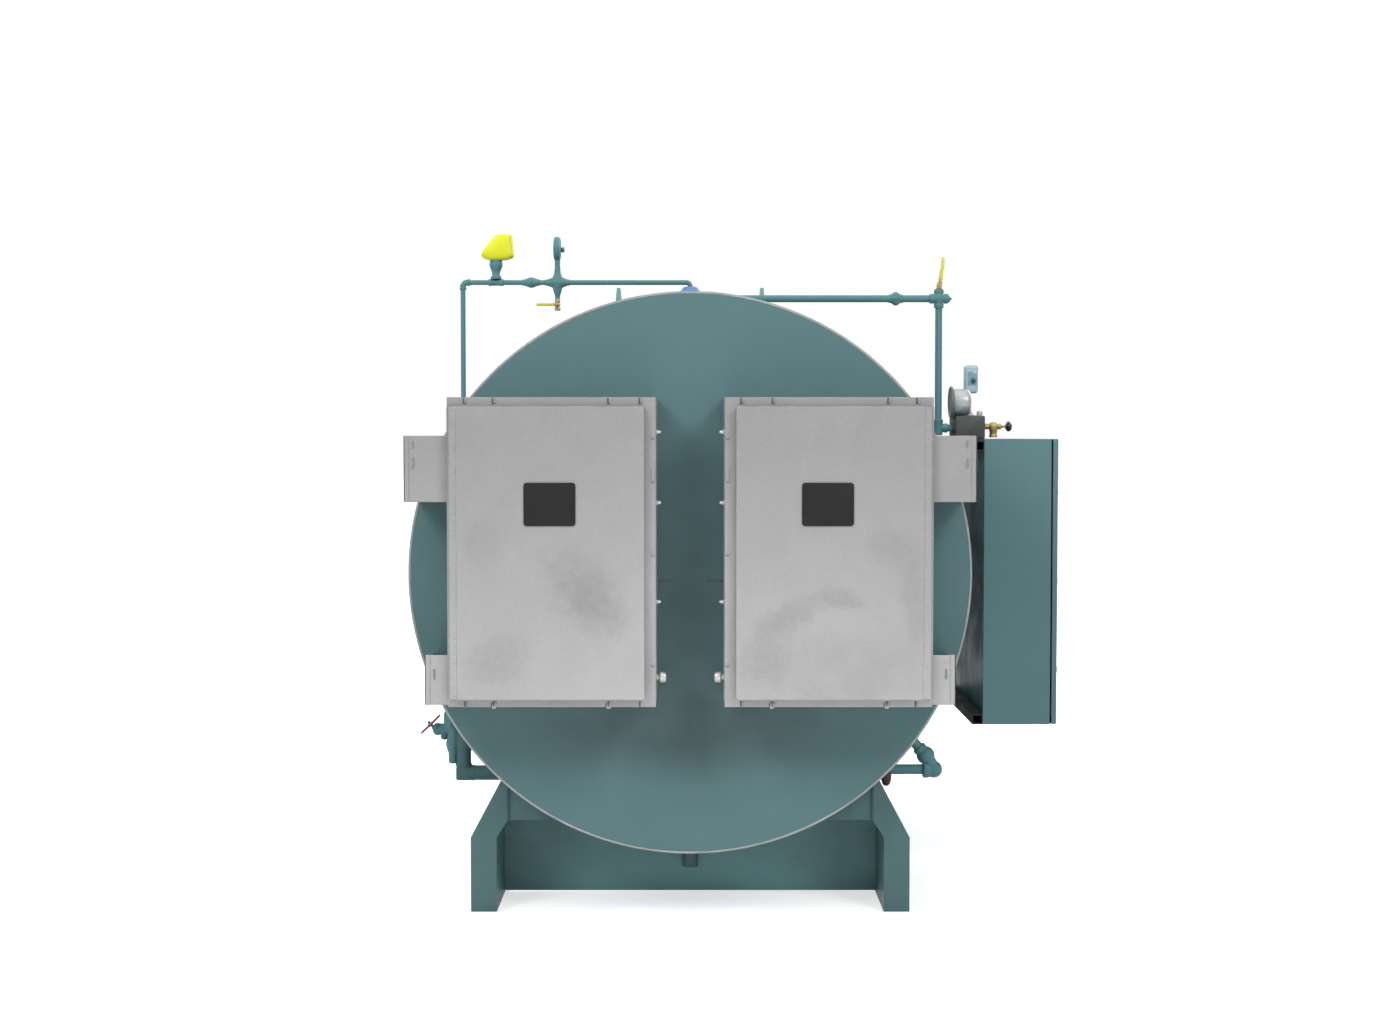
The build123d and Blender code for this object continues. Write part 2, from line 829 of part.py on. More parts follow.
with BuildPart() as drain_lever:
    plate(
        [
            (-gauge_cross_x + lever_heel, drain_pin_z - lever_root),
            (-gauge_cross_x + lever_heel, drain_pin_z + lever_root),
            (-gauge_cross_x - drain_lever_reach, drain_pin_z + lever_tip),
            (-gauge_cross_x - drain_lever_reach, drain_pin_z - lever_tip),
        ],
        pipe_y - lever_offset,
        lever_thickness,
    )
    prism(
        (-gauge_cross_x, pipe_y - lever_offset - cut_over, drain_pin_z),
        (0, 1, 0),
        lever_pin + pin_clearance,
        lever_thickness + 2 * cut_over,
        knuckle_sides,
        Mode.SUBTRACT,
        False,
    )
drain_lever.part.label = "drain_lever"
export_step(drain_lever.part, "parts/drain_lever.step")

# Right-hand pipe, test cock, gauge and switch group
manifold_inner_x = cabinet_inner_x - manifold_inset
manifold_outer_x = manifold_inner_x + manifold_width
manifold_top = cabinet_top + manifold_height
right_run_height = vessel_top + right_run_rise
right_drop_x = manifold_inner_x - right_drop_gap
right_drop_end = cabinet_top + right_drop_lift
right_union_x = right_drop_x - right_union_step
with BuildPart() as right_line:
    tube(
        [
            (0, pipe_y, right_run_height),
            (right_drop_x, pipe_y, right_run_height),
            (right_drop_x, pipe_y, right_drop_end),
            (manifold_inner_x, pipe_y, right_drop_end),
        ],
        main_pipe,
    )
    union_start = right_union_x - right_union_length / 2
    prism((union_start, pipe_y, right_run_height), (1, 0, 0), right_union_radius, right_union_length)
    prism((right_drop_x - cross_arm, pipe_y, right_run_height), (1, 0, 0), cross_radius, 2 * cross_arm, 8)
    prism((right_drop_x, pipe_y, right_run_height - cross_arm), up, cross_radius, 2 * cross_arm, 8)
    prism((right_drop_x + cross_arm, pipe_y, right_run_height), (1, 0, 0), plug_radius, plug_length)
    prism(
        (0, pipe_y, right_run_height - top_nozzle_radius),
        up,
        top_nozzle_radius + seat_gap,
        2 * top_nozzle_radius,
        knob_sides,
        Mode.SUBTRACT,
    )
right_line.part.label = "right_line"
export_step(right_line.part, "parts/right_line.step")

test_foot = right_run_height + cross_arm
test_pin_z = test_foot + test_pin_height
with BuildPart() as test_cock:
    prism((right_drop_x, pipe_y, test_foot), up, test_nut_radius, test_nut_length)
    prism((right_drop_x, pipe_y, test_pin_z), (0, -1, 0), lever_pin, lever_pin_length, knuckle_sides)
test_cock.part.label = "test_cock"
export_step(test_cock.part, "parts/test_cock.step")

with BuildPart() as test_lever:
    plate(
        [
            (right_drop_x - lever_heel, test_pin_z - lever_heel),
            (right_drop_x + lever_heel, test_pin_z - lever_heel),
            (right_drop_x + lever_heel, test_pin_z + test_lever_knee),
            (right_drop_x + test_lever_offset + lever_root, test_pin_z + test_lever_bend),
            (right_drop_x + test_lever_offset + lever_root, test_pin_z + test_lever_reach),
            (right_drop_x + test_lever_offset - lever_root, test_pin_z + test_lever_reach),
            (right_drop_x + test_lever_offset - lever_root, test_pin_z + test_lever_bend),
            (right_drop_x - lever_heel, test_pin_z + test_lever_knee),
        ],
        pipe_y - lever_offset,
        lever_thickness,
    )
    prism(
        (right_drop_x, pipe_y - lever_offset - cut_over, test_pin_z),
        (0, 1, 0),
        lever_pin + pin_clearance,
        lever_thickness + 2 * cut_over,
        knuckle_sides,
        Mode.SUBTRACT,
        False,
    )
test_lever.part.label = "test_lever"
export_step(test_lever.part, "parts/test_lever.step")

with BuildPart() as gauge_manifold:
    bar(
        (manifold_inner_x, manifold_outer_x),
        (pipe_y - manifold_front, pipe_y + manifold_back),
        (cabinet_top, manifold_top),
    )
    chamfer(gauge_manifold.edges().filter_by(Axis.Z), length=manifold_corner)
gauge_manifold.part.label = "gauge_manifold"
export_step(gauge_manifold.part, "parts/gauge_manifold.step")

gauge_inner_x = manifold_inner_x - gauge_lead
with BuildPart() as pressure_gauge:
    gauge_centre = (gauge_inner_x, pipe_y, manifold_top + gauge_rise)
    prism(gauge_centre, (1, 0, 0), bezel_radius, bezel_width, dial_sides)
    prism(gauge_centre, (1, 0, 0), gauge_radius, gauge_width, dial_sides)
    prism((gauge_inner_x + gauge_width / 2, pipe_y, manifold_top), up, switch_stem, gauge_rise)
pressure_gauge.part.label = "pressure_gauge"
export_step(pressure_gauge.part, "parts/pressure_gauge.step")

switch_y = pipe_y + switch_setback
switch_x = (manifold_inner_x + switch_inset, manifold_inner_x + switch_inset + switch_width)
switch_z = (manifold_top + switch_lift, manifold_top + switch_lift + switch_height)
with BuildPart() as pressure_switch:
    bar(switch_x, (switch_y - switch_half, switch_y + switch_half), switch_z)
    prism(((switch_x[0] + switch_x[1]) / 2, switch_y, manifold_top), up, switch_stem, switch_lift)
pressure_switch.part.label = "pressure_switch"
export_step(pressure_switch.part, "parts/pressure_switch.step")

petcock_z = manifold_top - petcock_drop
petcock_end = manifold_outer_x + petcock_length
with BuildPart() as petcock:
    prism((manifold_outer_x, pipe_y, petcock_z), (1, 0, 0), petcock_radius, petcock_length)
    prism(
        (manifold_outer_x + petcock_outlet, pipe_y, petcock_z),
        (0, 0, -1),
        petcock_outlet_radius,
        petcock_outlet_drop,
        8,
    )
    prism((petcock_end, pipe_y, petcock_z), (1, 0, 0), lever_pin, petcock_stem, knuckle_sides)
petcock.part.label = "petcock"
export_step(petcock.part, "parts/petcock.step")

with BuildPart() as petcock_knob:
    prism((petcock_end + knob_gap, pipe_y, petcock_z), (1, 0, 0), knob_radius, knob_length, knob_sides)
    prism(
        (petcock_end + knob_gap - cut_over, pipe_y, petcock_z),
        (1, 0, 0),
        lever_pin + pin_clearance,
        knob_length + 2 * cut_over,
        knuckle_sides,
        Mode.SUBTRACT,
        False,
    )
petcock_knob.part.label = "petcock_knob"
export_step(petcock_knob.part, "parts/petcock_knob.step")

# Low connections: drain valve on the left, feed loop on the right
drain_run_height = vessel_bottom + drain_run_rise
drain_riser_x = jacket_radius - drain_riser_inset
drain_valve_x = drain_riser_x + drain_valve_step
drain_valve_height = drain_run_height + drain_valve_rise
with BuildPart() as drain_line:
    tube(
        [
            (-surface_x(drain_run_height) + feed_bite, low_y, drain_run_height),
            (-drain_riser_x, low_y, drain_run_height),
            (-drain_riser_x, low_y, drain_valve_height - socket_half),
        ],
        drain_pipe,
    )
    clear_of_vessel()
drain_line.part.label = "drain_line"
export_step(drain_line.part, "parts/drain_line.step")

stem_x = -math.cos(math.radians(stem_angle))
stem_z = math.sin(math.radians(stem_angle))
stem_axis = (stem_x, 0, stem_z)
hub_x = -drain_valve_x - hub_out
hub_z = drain_valve_height + hub_rise
bonnet_x = -drain_valve_x + bonnet_inner
bonnet_z = drain_valve_height + bonnet_rise
with BuildPart() as drain_valve:
    prism((-drain_riser_x, low_y, drain_valve_height - socket_half), up, riser_socket, 2 * socket_half, 8)
    prism((-drain_riser_x, low_y, drain_valve_height), (-1, 0, 0), branch_radius, drain_valve_step, 8)
    valve_foot = drain_valve_height - socket_half
    prism((-drain_valve_x, low_y, valve_foot), up, valve_radius, bonnet_z - valve_foot, knob_sides)
    prism((-drain_valve_x, low_y, drain_valve_height - valve_drop), up, valve_tip, valve_drop, knuckle_sides)
    prism((bonnet_x, low_y, bonnet_z), (-1, 0, 0), bonnet_radius, bonnet_length, knuckle_sides)
    prism((-drain_valve_x - port_step, low_y, bonnet_z), up, port_radius, bonnet_radius + port_length, 8)
    stem_foot = (hub_x - stem_reach * stem_x, low_y, hub_z - stem_reach * stem_z)
    prism(stem_foot, stem_axis, wheel_stem, stem_reach + stem_past, knuckle_sides)
drain_valve.part.label = "drain_valve"
export_step(drain_valve.part, "parts/drain_valve.step")

wheel_half = wheel_thickness / 2
wheel_plane = Plane(
    origin=(hub_x - wheel_half * stem_x, low_y, hub_z - wheel_half * stem_z),
    x_dir=(0, 1, 0),
    z_dir=stem_axis,
)
with BuildPart() as handwheel:
    with BuildSketch(wheel_plane):
        RegularPolygon(wheel_radius, wheel_sides)
        RegularPolygon(wheel_radius - wheel_rim, wheel_sides, mode=Mode.SUBTRACT)
        RegularPolygon(wheel_hub, knuckle_sides)
        for turn in (0, 60, 120):
            Rectangle(2 * wheel_radius - wheel_rim, wheel_spoke, rotation=turn)
        RegularPolygon(wheel_stem + pin_clearance, knuckle_sides, major_radius=False, mode=Mode.SUBTRACT)
    extrude(amount=wheel_thickness)
handwheel.part.label = "handwheel"
export_step(handwheel.part, "parts/handwheel.step")

feed_run_height = vessel_bottom + feed_run_rise
feed_turn_x = jacket_radius - feed_turn_inset
feed_knee_x = jacket_radius - feed_knee_inset
feed_knee_height = feed_run_height + feed_knee_rise
feed_slope = math.atan2(axis_height - feed_knee_height, feed_knee_x)
feed_root = jacket_radius - feed_bite
jacket_knee = math.hypot(feed_knee_x, axis_height - feed_knee_height)
with BuildPart() as feed_loop:
    tube(
        [
            (feed_root * math.cos(feed_slope), low_y, axis_height - feed_root * math.sin(feed_slope)),
            (feed_knee_x, low_y, feed_knee_height),
            (feed_turn_x, low_y, feed_run_height),
            (surface_x(feed_run_height) - feed_bite, low_y, feed_run_height),
        ],
        feed_pipe,
    )
    collar_start = feed_turn_x + feed_collar_past - feed_collar_length
    prism((collar_start, low_y, feed_run_height), (1, 0, 0), feed_collar, feed_collar_length, 8)
    feed_axis = (math.cos(feed_slope), 0, -math.sin(feed_slope))
    knee_start = jacket_knee - feed_knee_length / 2
    knee_place = (knee_start * feed_axis[0], low_y, axis_height + knee_start * feed_axis[2])
    prism(knee_place, feed_axis, feed_knee_collar, feed_knee_length, 8)
    clear_of_vessel()
feed_loop.part.label = "feed_loop"
export_step(feed_loop.part, "parts/feed_loop.step")

with BuildPart() as feed_plug:
    plug_x = jacket_radius - feed_plug_inset
    prism((plug_x, low_y, feed_run_height - feed_plug_drop), up, feed_plug_radius, feed_plug_drop)
    rod(
        (plug_x - 2 * feed_plug_radius, low_y, feed_run_height),
        (1, 0, 0),
        feed_pipe + seat_gap,
        4 * feed_plug_radius,
        Mode.SUBTRACT,
    )
feed_plug.part.label = "feed_plug"
export_step(feed_plug.part, "parts/feed_plug.step")

with BuildPart() as bottom_coupling:
    coupling_y = front_y + bottom_coupling_setback
    coupling_end = vessel_bottom - bottom_coupling_drop
    prism(
        (0, coupling_y, coupling_end),
        up,
        bottom_coupling_radius,
        bottom_coupling_drop - seat_gap,
        knob_sides,
    )
    rod(
        (0, coupling_y, coupling_end - cut_over),
        up,
        bottom_coupling_bore,
        bottom_coupling_bore_depth + cut_over,
        Mode.SUBTRACT,
    )
bottom_coupling.part.label = "bottom_coupling"
export_step(bottom_coupling.part, "parts/bottom_coupling.step")

# Lifting lugs over the middle of the vessel
lug_top = vessel_top + lug_rise
with BuildPart() as lifting_lugs:
    for s in (-1, 1):
        lug_base = surface_z(lug_x) - lug_bite
        with BuildSketch(side_plane(s * lug_x - lug_thickness / 2)) as lug_outline:
            with BuildLine():
                Polyline(
                    (-lug_length / 2, lug_base),
                    (-lug_length / 2, lug_top - lug_taper),
                    (-lug_length / 4, lug_top),
                    (lug_length / 4, lug_top),
                    (lug_length / 2, lug_top - lug_taper),
                    (lug_length / 2, lug_base),
                    close=True,
                )
            make_face()
            with Locations((0, lug_top - lug_hole_drop)):
                Circle(lug_hole_radius, mode=Mode.SUBTRACT)
        extrude(amount=lug_thickness)
    clear_of_vessel()
lifting_lugs.part.label = "lifting_lugs"
export_step(lifting_lugs.part, "parts/lifting_lugs.step")
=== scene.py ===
import math
import bmesh
import bpy
from mathutils import Matrix, Vector


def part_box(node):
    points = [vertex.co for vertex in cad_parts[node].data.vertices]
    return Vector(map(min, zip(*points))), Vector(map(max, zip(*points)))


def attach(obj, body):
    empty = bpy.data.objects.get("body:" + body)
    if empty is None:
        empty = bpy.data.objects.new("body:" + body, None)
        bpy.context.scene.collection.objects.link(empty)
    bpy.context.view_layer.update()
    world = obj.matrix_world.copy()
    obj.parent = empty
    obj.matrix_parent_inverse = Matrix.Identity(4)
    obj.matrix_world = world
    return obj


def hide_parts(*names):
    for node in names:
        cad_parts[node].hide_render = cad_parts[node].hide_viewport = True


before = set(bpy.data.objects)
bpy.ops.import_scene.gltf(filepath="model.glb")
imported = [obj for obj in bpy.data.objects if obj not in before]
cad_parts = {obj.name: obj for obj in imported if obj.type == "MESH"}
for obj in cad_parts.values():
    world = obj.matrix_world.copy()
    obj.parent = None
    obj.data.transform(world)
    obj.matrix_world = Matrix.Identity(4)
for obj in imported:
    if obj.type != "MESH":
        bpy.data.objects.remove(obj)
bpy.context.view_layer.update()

scene = bpy.context.scene
scene.view_settings.view_transform = "Standard"
print("frame loaded:", len(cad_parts), "nodes")


# camera at the photograph's viewing angle
cameraView = {"place": (0, -6.714, 1.456), "tilt": 2.364, "lens": 50, "sensor": 36, "shift": 0.00234, "farEnd": 200}
photoCamera = bpy.data.objects.new("photoCamera", bpy.data.cameras.new("photoCamera"))
photoCamera.data.lens = cameraView["lens"]
photoCamera.data.sensor_width = cameraView["sensor"]
photoCamera.data.shift_x = cameraView["shift"]
photoCamera.data.clip_end = cameraView["farEnd"]
photoCamera.location = cameraView["place"]
photoCamera.rotation_euler = (math.radians(90 - cameraView["tilt"]), 0, 0)
scene.collection.objects.link(photoCamera)
scene.camera = photoCamera
print("camera set")


# node helpers
def shade(red, green, blue):  # screen colour to linear
    parts = [part / 255 for part in (red, green, blue)]
    return tuple(p / 12.92 if p < 0.0405 else ((p + 0.055) / 1.055) ** 2.4 for p in parts) + (1,)


def wire(tree, source, socket):  # a number or colour is set, an output is linked
    if isinstance(source, (int, float, tuple)):
        socket.default_value = source
    else:
        tree.links.new(source, socket)


def math2(tree, operation, first, second, clamp=False):
    node = tree.nodes.new("ShaderNodeMath")
    node.operation = operation
    node.use_clamp = clamp
    wire(tree, first, node.inputs[0])
    wire(tree, second, node.inputs[1])
    return node.outputs[0]


def plus(tree, first, second, clamp=False):
    return math2(tree, "ADD", first, second, clamp)


def times(tree, first, second):
    return math2(tree, "MULTIPLY", first, second)


def vectorMath(tree, operation, *values):
    node = tree.nodes.new("ShaderNodeVectorMath")
    node.operation = operation
    for socket, value in zip(node.inputs, values):
        wire(tree, value, socket)
    return node.outputs


def blendColour(tree, mode, factor, first, second):
    node = tree.nodes.new("ShaderNodeMix")
    node.data_type = "RGBA"
    node.blend_type = mode
    for index, value in ((0, factor), (6, first), (7, second)):  # the colour sockets of the mix node
        wire(tree, value, node.inputs[index])
    return node.outputs[2]


def spread(tree, value, low, high, outLow=0.0, outHigh=1.0):
    node = tree.nodes.new("ShaderNodeMapRange")
    node.interpolation_type = "SMOOTHSTEP"
    for socket, source in zip(node.inputs, (value, low, high, outLow, outHigh)):
        wire(tree, source, socket)
    return node.outputs[0]


def noise(tree, vector, scale, detail=3.0, rough=0.55):
    node = tree.nodes.new("ShaderNodeTexNoise")
    for label, value in (("Vector", vector), ("Scale", scale), ("Detail", detail), ("Roughness", rough)):
        wire(tree, value, node.inputs[label])
    return node.outputs[0]


def objectPlace(tree):
    return tree.nodes.new("ShaderNodeTexCoord").outputs["Object"]


def newGroup(name, inputs, outputs):
    tree = bpy.data.node_groups.new(name, "ShaderNodeTree")
    for label, kind, value in inputs:
        tree.interface.new_socket(label, in_out="INPUT", socket_type=kind).default_value = value
    for label, kind in outputs:
        tree.interface.new_socket(label, in_out="OUTPUT", socket_type=kind)
    return tree, tree.nodes.new("NodeGroupInput").outputs, tree.nodes.new("NodeGroupOutput").inputs


def useGroup(tree, group, values):
    node = tree.nodes.new("ShaderNodeGroup")
    node.node_tree = group
    for label, value in values.items():
        wire(tree, value, node.inputs[label])
    return node.outputs


floatSocket, vectorSocket = "NodeSocketFloat", "NodeSocketVector"

# sprayed coat: slow cloud in the tone, fine orange peel in the height
coatNoise = {"roughSize": 11, "rippleSize": 60, "rippleShare": 0.6}
tree, given, out = newGroup(
    "sprayCoat", [("Cloud", floatSocket, 0.06), ("Cloud Size", floatSocket, 2.0), ("Grain Size", floatSocket, 500.0)],
    [("Tone", floatSocket), ("Rough Shift", floatSocket), ("Height", floatSocket)])
place = objectPlace(tree)
cloud = spread(tree, noise(tree, place, given["Cloud Size"], 6, 0.6), 0.3, 0.7, -1, 1)
wire(tree, plus(tree, times(tree, cloud, given["Cloud"]), 1.0), out["Tone"])
wire(tree, spread(tree, noise(tree, place, coatNoise["roughSize"], 5), 0.3, 0.7, -0.07, 0.09), out["Rough Shift"])
peel = noise(tree, place, given["Grain Size"], 2)
ripple = noise(tree, place, coatNoise["rippleSize"], 2)
wire(tree, plus(tree, peel, times(tree, ripple, coatNoise["rippleShare"])), out["Height"])
sprayCoat = tree

# rubbed edges: rounded normal and a broken-up mask where it leaves the flat face
lookSamples = 6  # of the edge and corner nodes
tree, given, out = newGroup("edgeRub", [("Radius", floatSocket, 0.003), ("Breakup", floatSocket, 55.0)],
                            [("Mask", floatSocket), ("Normal", vectorSocket)])
rounding = tree.nodes.new("ShaderNodeBevel")
rounding.samples = lookSamples
wire(tree, given["Radius"], rounding.inputs["Radius"])
flatNormal = tree.nodes.new("ShaderNodeNewGeometry").outputs["Normal"]
facing = vectorMath(tree, "DOT_PRODUCT", rounding.outputs[0], flatNormal)["Value"]
bend = spread(tree, math2(tree, "SUBTRACT", 1.0, facing), 0.02, 0.22)
patchy = spread(tree, noise(tree, objectPlace(tree), given["Breakup"], 4, 0.65), 0.42, 0.62)
wire(tree, times(tree, bend, patchy), out["Mask"])
wire(tree, rounding.outputs[0], out["Normal"])
edgeRub = tree

# settled dirt and painted shade where surfaces meet: the colour darkens where ambient occlusion finds nearby surfaces
tree, given, out = newGroup("cornerDirtAndShade", [("Distance", floatSocket, 0.1), ("Breakup", floatSocket, 14.0)],
                            [("Mask", floatSocket)])
corner = tree.nodes.new("ShaderNodeAmbientOcclusion")
corner.samples = lookSamples
wire(tree, given["Distance"], corner.inputs["Distance"])
hollow = spread(tree, math2(tree, "SUBTRACT", 1.0, corner.outputs["AO"]), 0.15, 0.85)
broken = spread(tree, noise(tree, objectPlace(tree), given["Breakup"], 5), 0.2, 0.7, 0.45, 1)
wire(tree, times(tree, hollow, broken), out["Mask"])
cornerDirtAndShade = tree

# one cloudy patch, a real smudge on the galvanised sheet and painted shade on the teal: an ellipse on the sheet, its
# edge eaten by noise
tree, given, out = newGroup(
    "smudgeAndShadePatch", [("Middle", vectorSocket, (0, 0, 0)), ("Half Size", vectorSocket, (0.1, 1, 0.1)),
                    ("Turn", floatSocket, 0.0), ("Speckle", floatSocket, 30.0)],
    [("Mask", floatSocket), ("Soft", floatSocket)])
place = objectPlace(tree)
turned = tree.nodes.new("ShaderNodeVectorRotate")
turned.rotation_type = "Y_AXIS"
wire(tree, vectorMath(tree, "SUBTRACT", place, given["Middle"])[0], turned.inputs["Vector"])
wire(tree, given["Turn"], turned.inputs["Angle"])
sized = vectorMath(tree, "DIVIDE", turned.outputs[0], given["Half Size"])[0]
soft = spread(tree, vectorMath(tree, "LENGTH", sized)["Value"], 0.25, 1.15, 1, 0)
speckle = noise(tree, place, given["Speckle"], 7, 0.7)
eaten = spread(tree, plus(tree, speckle, times(tree, soft, 0.45)), 0.55, 1.15)
wire(tree, times(tree, eaten, soft), out["Mask"])
wire(tree, soft, out["Soft"])
smudgeAndShadePatch = tree


def newFinish(name):
    mat = bpy.data.materials.new(name)
    mat.use_nodes = True
    return mat, mat.node_tree


bumpDepth, coatRough = 0.001, 0.12


def finishShader(tree, look, colour, coat, rub, roughMore=None):
    shader = tree.nodes["Principled BSDF"].inputs
    wire(tree, colour, shader["Base Color"])
    rough = plus(tree, coat["Rough Shift"], look["rough"], True)
    if roughMore is not None:
        rough = plus(tree, rough, roughMore, True)
    wire(tree, rough, shader["Roughness"])
    wire(tree, look["metal"], shader["Metallic"])
    wire(tree, look["specular"], shader["Specular IOR Level"])
    if "coat" in look:
        wire(tree, look["coat"], shader["Coat Weight"])
        wire(tree, coatRough, shader["Coat Roughness"])
    bump = tree.nodes.new("ShaderNodeBump")
    for label, value in (("Strength", look["bump"]), ("Distance", bumpDepth),
                         ("Height", coat["Height"]), ("Normal", rub["Normal"])):
        wire(tree, value, bump.inputs[label])
    wire(tree, bump.outputs[0], shader["Normal"])


# corner darkening keys: settled dirt at a short reach, painted shade where the reach is long; shade patches paint shade
# in given ellipses
plainLook = {"cloud": 0.05, "cloudSize": 2.0, "grain": 450, "bump": 0.08, "round": 0.003, "metal": 0, "specular": 0.5,
             "dirt": 0.35, "dirtReach": 0.06, "dirtColour": (52, 62, 62), "rub": 0.4, "rubColour": (150, 172, 172),
             "blotchSize": 40, "blotchAmount": 0.5, "grime": [], "shadePatchSpeckle": 9}


def coated(name, **own):
    look = {**plainLook, **own}
    mat, tree = newFinish(name)
    coat = useGroup(tree, sprayCoat, {"Cloud": look["cloud"], "Cloud Size": look["cloudSize"],
                                      "Grain Size": look["grain"]})
    rub = useGroup(tree, edgeRub, {"Radius": look["round"]})
    dirt = useGroup(tree, cornerDirtAndShade, {"Distance": look["dirtReach"]})
    colour = blendColour(tree, "MULTIPLY", 1.0, shade(*look["colour"]), coat["Tone"])
    if "blotch" in look:
        blot = spread(tree, noise(tree, objectPlace(tree), look["blotchSize"], 6, 0.7), 0.5, 0.72)
        colour = blendColour(tree, "MIX", times(tree, blot, look["blotchAmount"]), colour, shade(*look["blotch"]))
    for middle, half, amount in look["grime"]:  # painted shade: a darker film over each given ellipse
        patch = useGroup(tree, smudgeAndShadePatch, {"Middle": middle, "Half Size": half, "Speckle": look["shadePatchSpeckle"]})
        shadeFilm = plus(tree, times(tree, patch["Soft"], 0.7), times(tree, patch["Mask"], 0.3))
        colour = blendColour(tree, "MIX", times(tree, shadeFilm, amount), colour, shade(*look["grimeColour"]))
    # the corner mask darkens the colour (settled dirt, and painted shade where the reach is long), then rubbed edges
    # lighten it
    for layer, kind in ((dirt, "dirt"), (rub, "rub")):
        colour = blendColour(tree, "MIX", times(tree, layer["Mask"], look[kind]), colour, shade(*look[kind + "Colour"]))
    finishShader(tree, look, colour, coat, rub)
    return mat


sheetLook = {"low": (183, 183, 183), "high": (162, 162, 162), "topDarkFrom": 0.7, "topDarkTo": 1.5, "smudge": (146, 147, 147),
             "smudgeRough": 0.1, "spangleSize": 150, "spangle": 0.035, "dirt": 0.25, "dirtColour": (96, 98, 98),
             "rub": 0.55, "rubColour": (226, 226, 224), "rough": 0.5, "metal": 0.1, "bump": 0.03, "specular": 0.25}


def galvanised(name, smudges):
    look = sheetLook
    mat, tree = newFinish(name)
    place = objectPlace(tree)
    coat = useGroup(tree, sprayCoat, {"Cloud": 0.035, "Cloud Size": 5, "Grain Size": 700})
    rub = useGroup(tree, edgeRub, {"Radius": 0.004, "Breakup": 30})
    dirt = useGroup(tree, cornerDirtAndShade, {"Distance": 0.03})
    split = tree.nodes.new("ShaderNodeSeparateXYZ")
    wire(tree, place, split.inputs[0])
    height = spread(tree, split.outputs["Z"], look["topDarkFrom"], look["topDarkTo"])  # the sheet is darker towards the top
    colour = blendColour(tree, "MIX", height, shade(*look["low"]), shade(*look["high"]))
    colour = blendColour(tree, "MULTIPLY", 1.0, colour, coat["Tone"])
    spangle = tree.nodes.new("ShaderNodeTexVoronoi")
    wire(tree, look["spangleSize"], spangle.inputs["Scale"])
    wire(tree, place, spangle.inputs["Vector"])
    colour = blendColour(tree, "OVERLAY", look["spangle"], colour, spangle.outputs["Color"])
    for middle, half, turn, speckle, amount in smudges:
        patch = useGroup(tree, smudgeAndShadePatch, {"Middle": middle, "Half Size": half, "Turn": math.radians(turn),
                                             "Speckle": speckle})
        colour = blendColour(tree, "MIX", times(tree, patch["Mask"], amount), colour, shade(*look["smudge"]))
    roughMore = times(tree, patch["Mask"], look["smudgeRough"])  # the last smudge is rougher too
    # the corner mask darkens the colour (settled dirt and painted shade), then rubbed edges lighten it
    for layer, kind in ((dirt, "dirt"), (rub, "rub")):
        colour = blendColour(tree, "MIX", times(tree, layer["Mask"], look[kind]), colour, shade(*look[kind + "Colour"]))
    finishShader(tree, look, colour, coat, rub, roughMore)
    return mat


tealLook = {"colour": (95, 129, 133), "rough": 0.46, "cloud": 0.035, "bump": 0.05, "rub": 0.35,
            "rubColour": (128, 158, 160), "dirt": 0.4, "dirtReach": 0.08, "specular": 0.22}


def tealCoat(name, **own):
    return coated(name, **{**tealLook, **own})


# finishes, written as they show in plain light, some with painted shade or light as noted; shade patches and smudges
# give middle and half size first
tealPaint = tealCoat("tealPaint")
# coverTeal paints shade on the front cover: the corner darkening reaches 0.2 m, and two darker patches paint the shadow
# under the enclosures and in the gap between them
coverTeal = tealCoat("coverTeal", dirtReach=0.2, dirtColour=(76, 82, 82), cloud=0.025, grimeColour=(64, 70, 70),
                     grime=[((0, -1, 0.60), (0.62, 1, 0.185), 0.54), ((0, -1, 0.92), (0.14, 1, 0.34), 0.3)])
# cabinetTeal paints shade: strong long-reach corner darkening paints the shade on the cabinet side facing the jacket;
# its colour is a slightly lighter copy of the teal to brighten the cabinet
cabinetTeal = tealCoat(
    "cabinetTeal", colour=(103, 137, 141), dirt=0.95, dirtReach=0.25, dirtColour=(24, 35, 37), specular=0.1)
pipeTeal = tealCoat("pipeTeal", colour=(94, 140, 144), round=0.0015, rub=0.25, dirtReach=0.03)
# lugTeal is a lighter copy of the teal paint: painted light on the top-lit lifting lugs
lugTeal = tealCoat("lugTeal", colour=(120, 158, 160), round=0.004)
baseTeal = tealCoat("baseTeal", colour=(86, 118, 121), cloud=0.06, dirt=0.3, dirtReach=0.1)
# webTeal is a much lighter copy of the base teal, painted light on the front web that sits in the vessel's shadow; its
# patches paint the shade along the web's top under the vessel and beside the legs
webTeal = tealCoat("webTeal", colour=(134, 182, 186), cloud=0.08, dirtReach=0.1, grimeColour=(60, 74, 74),
                   grime=[((0, -0.6, 0.24), (0.8, 1, 0.2), 0.4), ((-0.6, -0.6, 0.15), (0.42, 1, 0.5), 0.5),
                          ((0.6, -0.6, 0.15), (0.42, 1, 0.5), 0.5)])
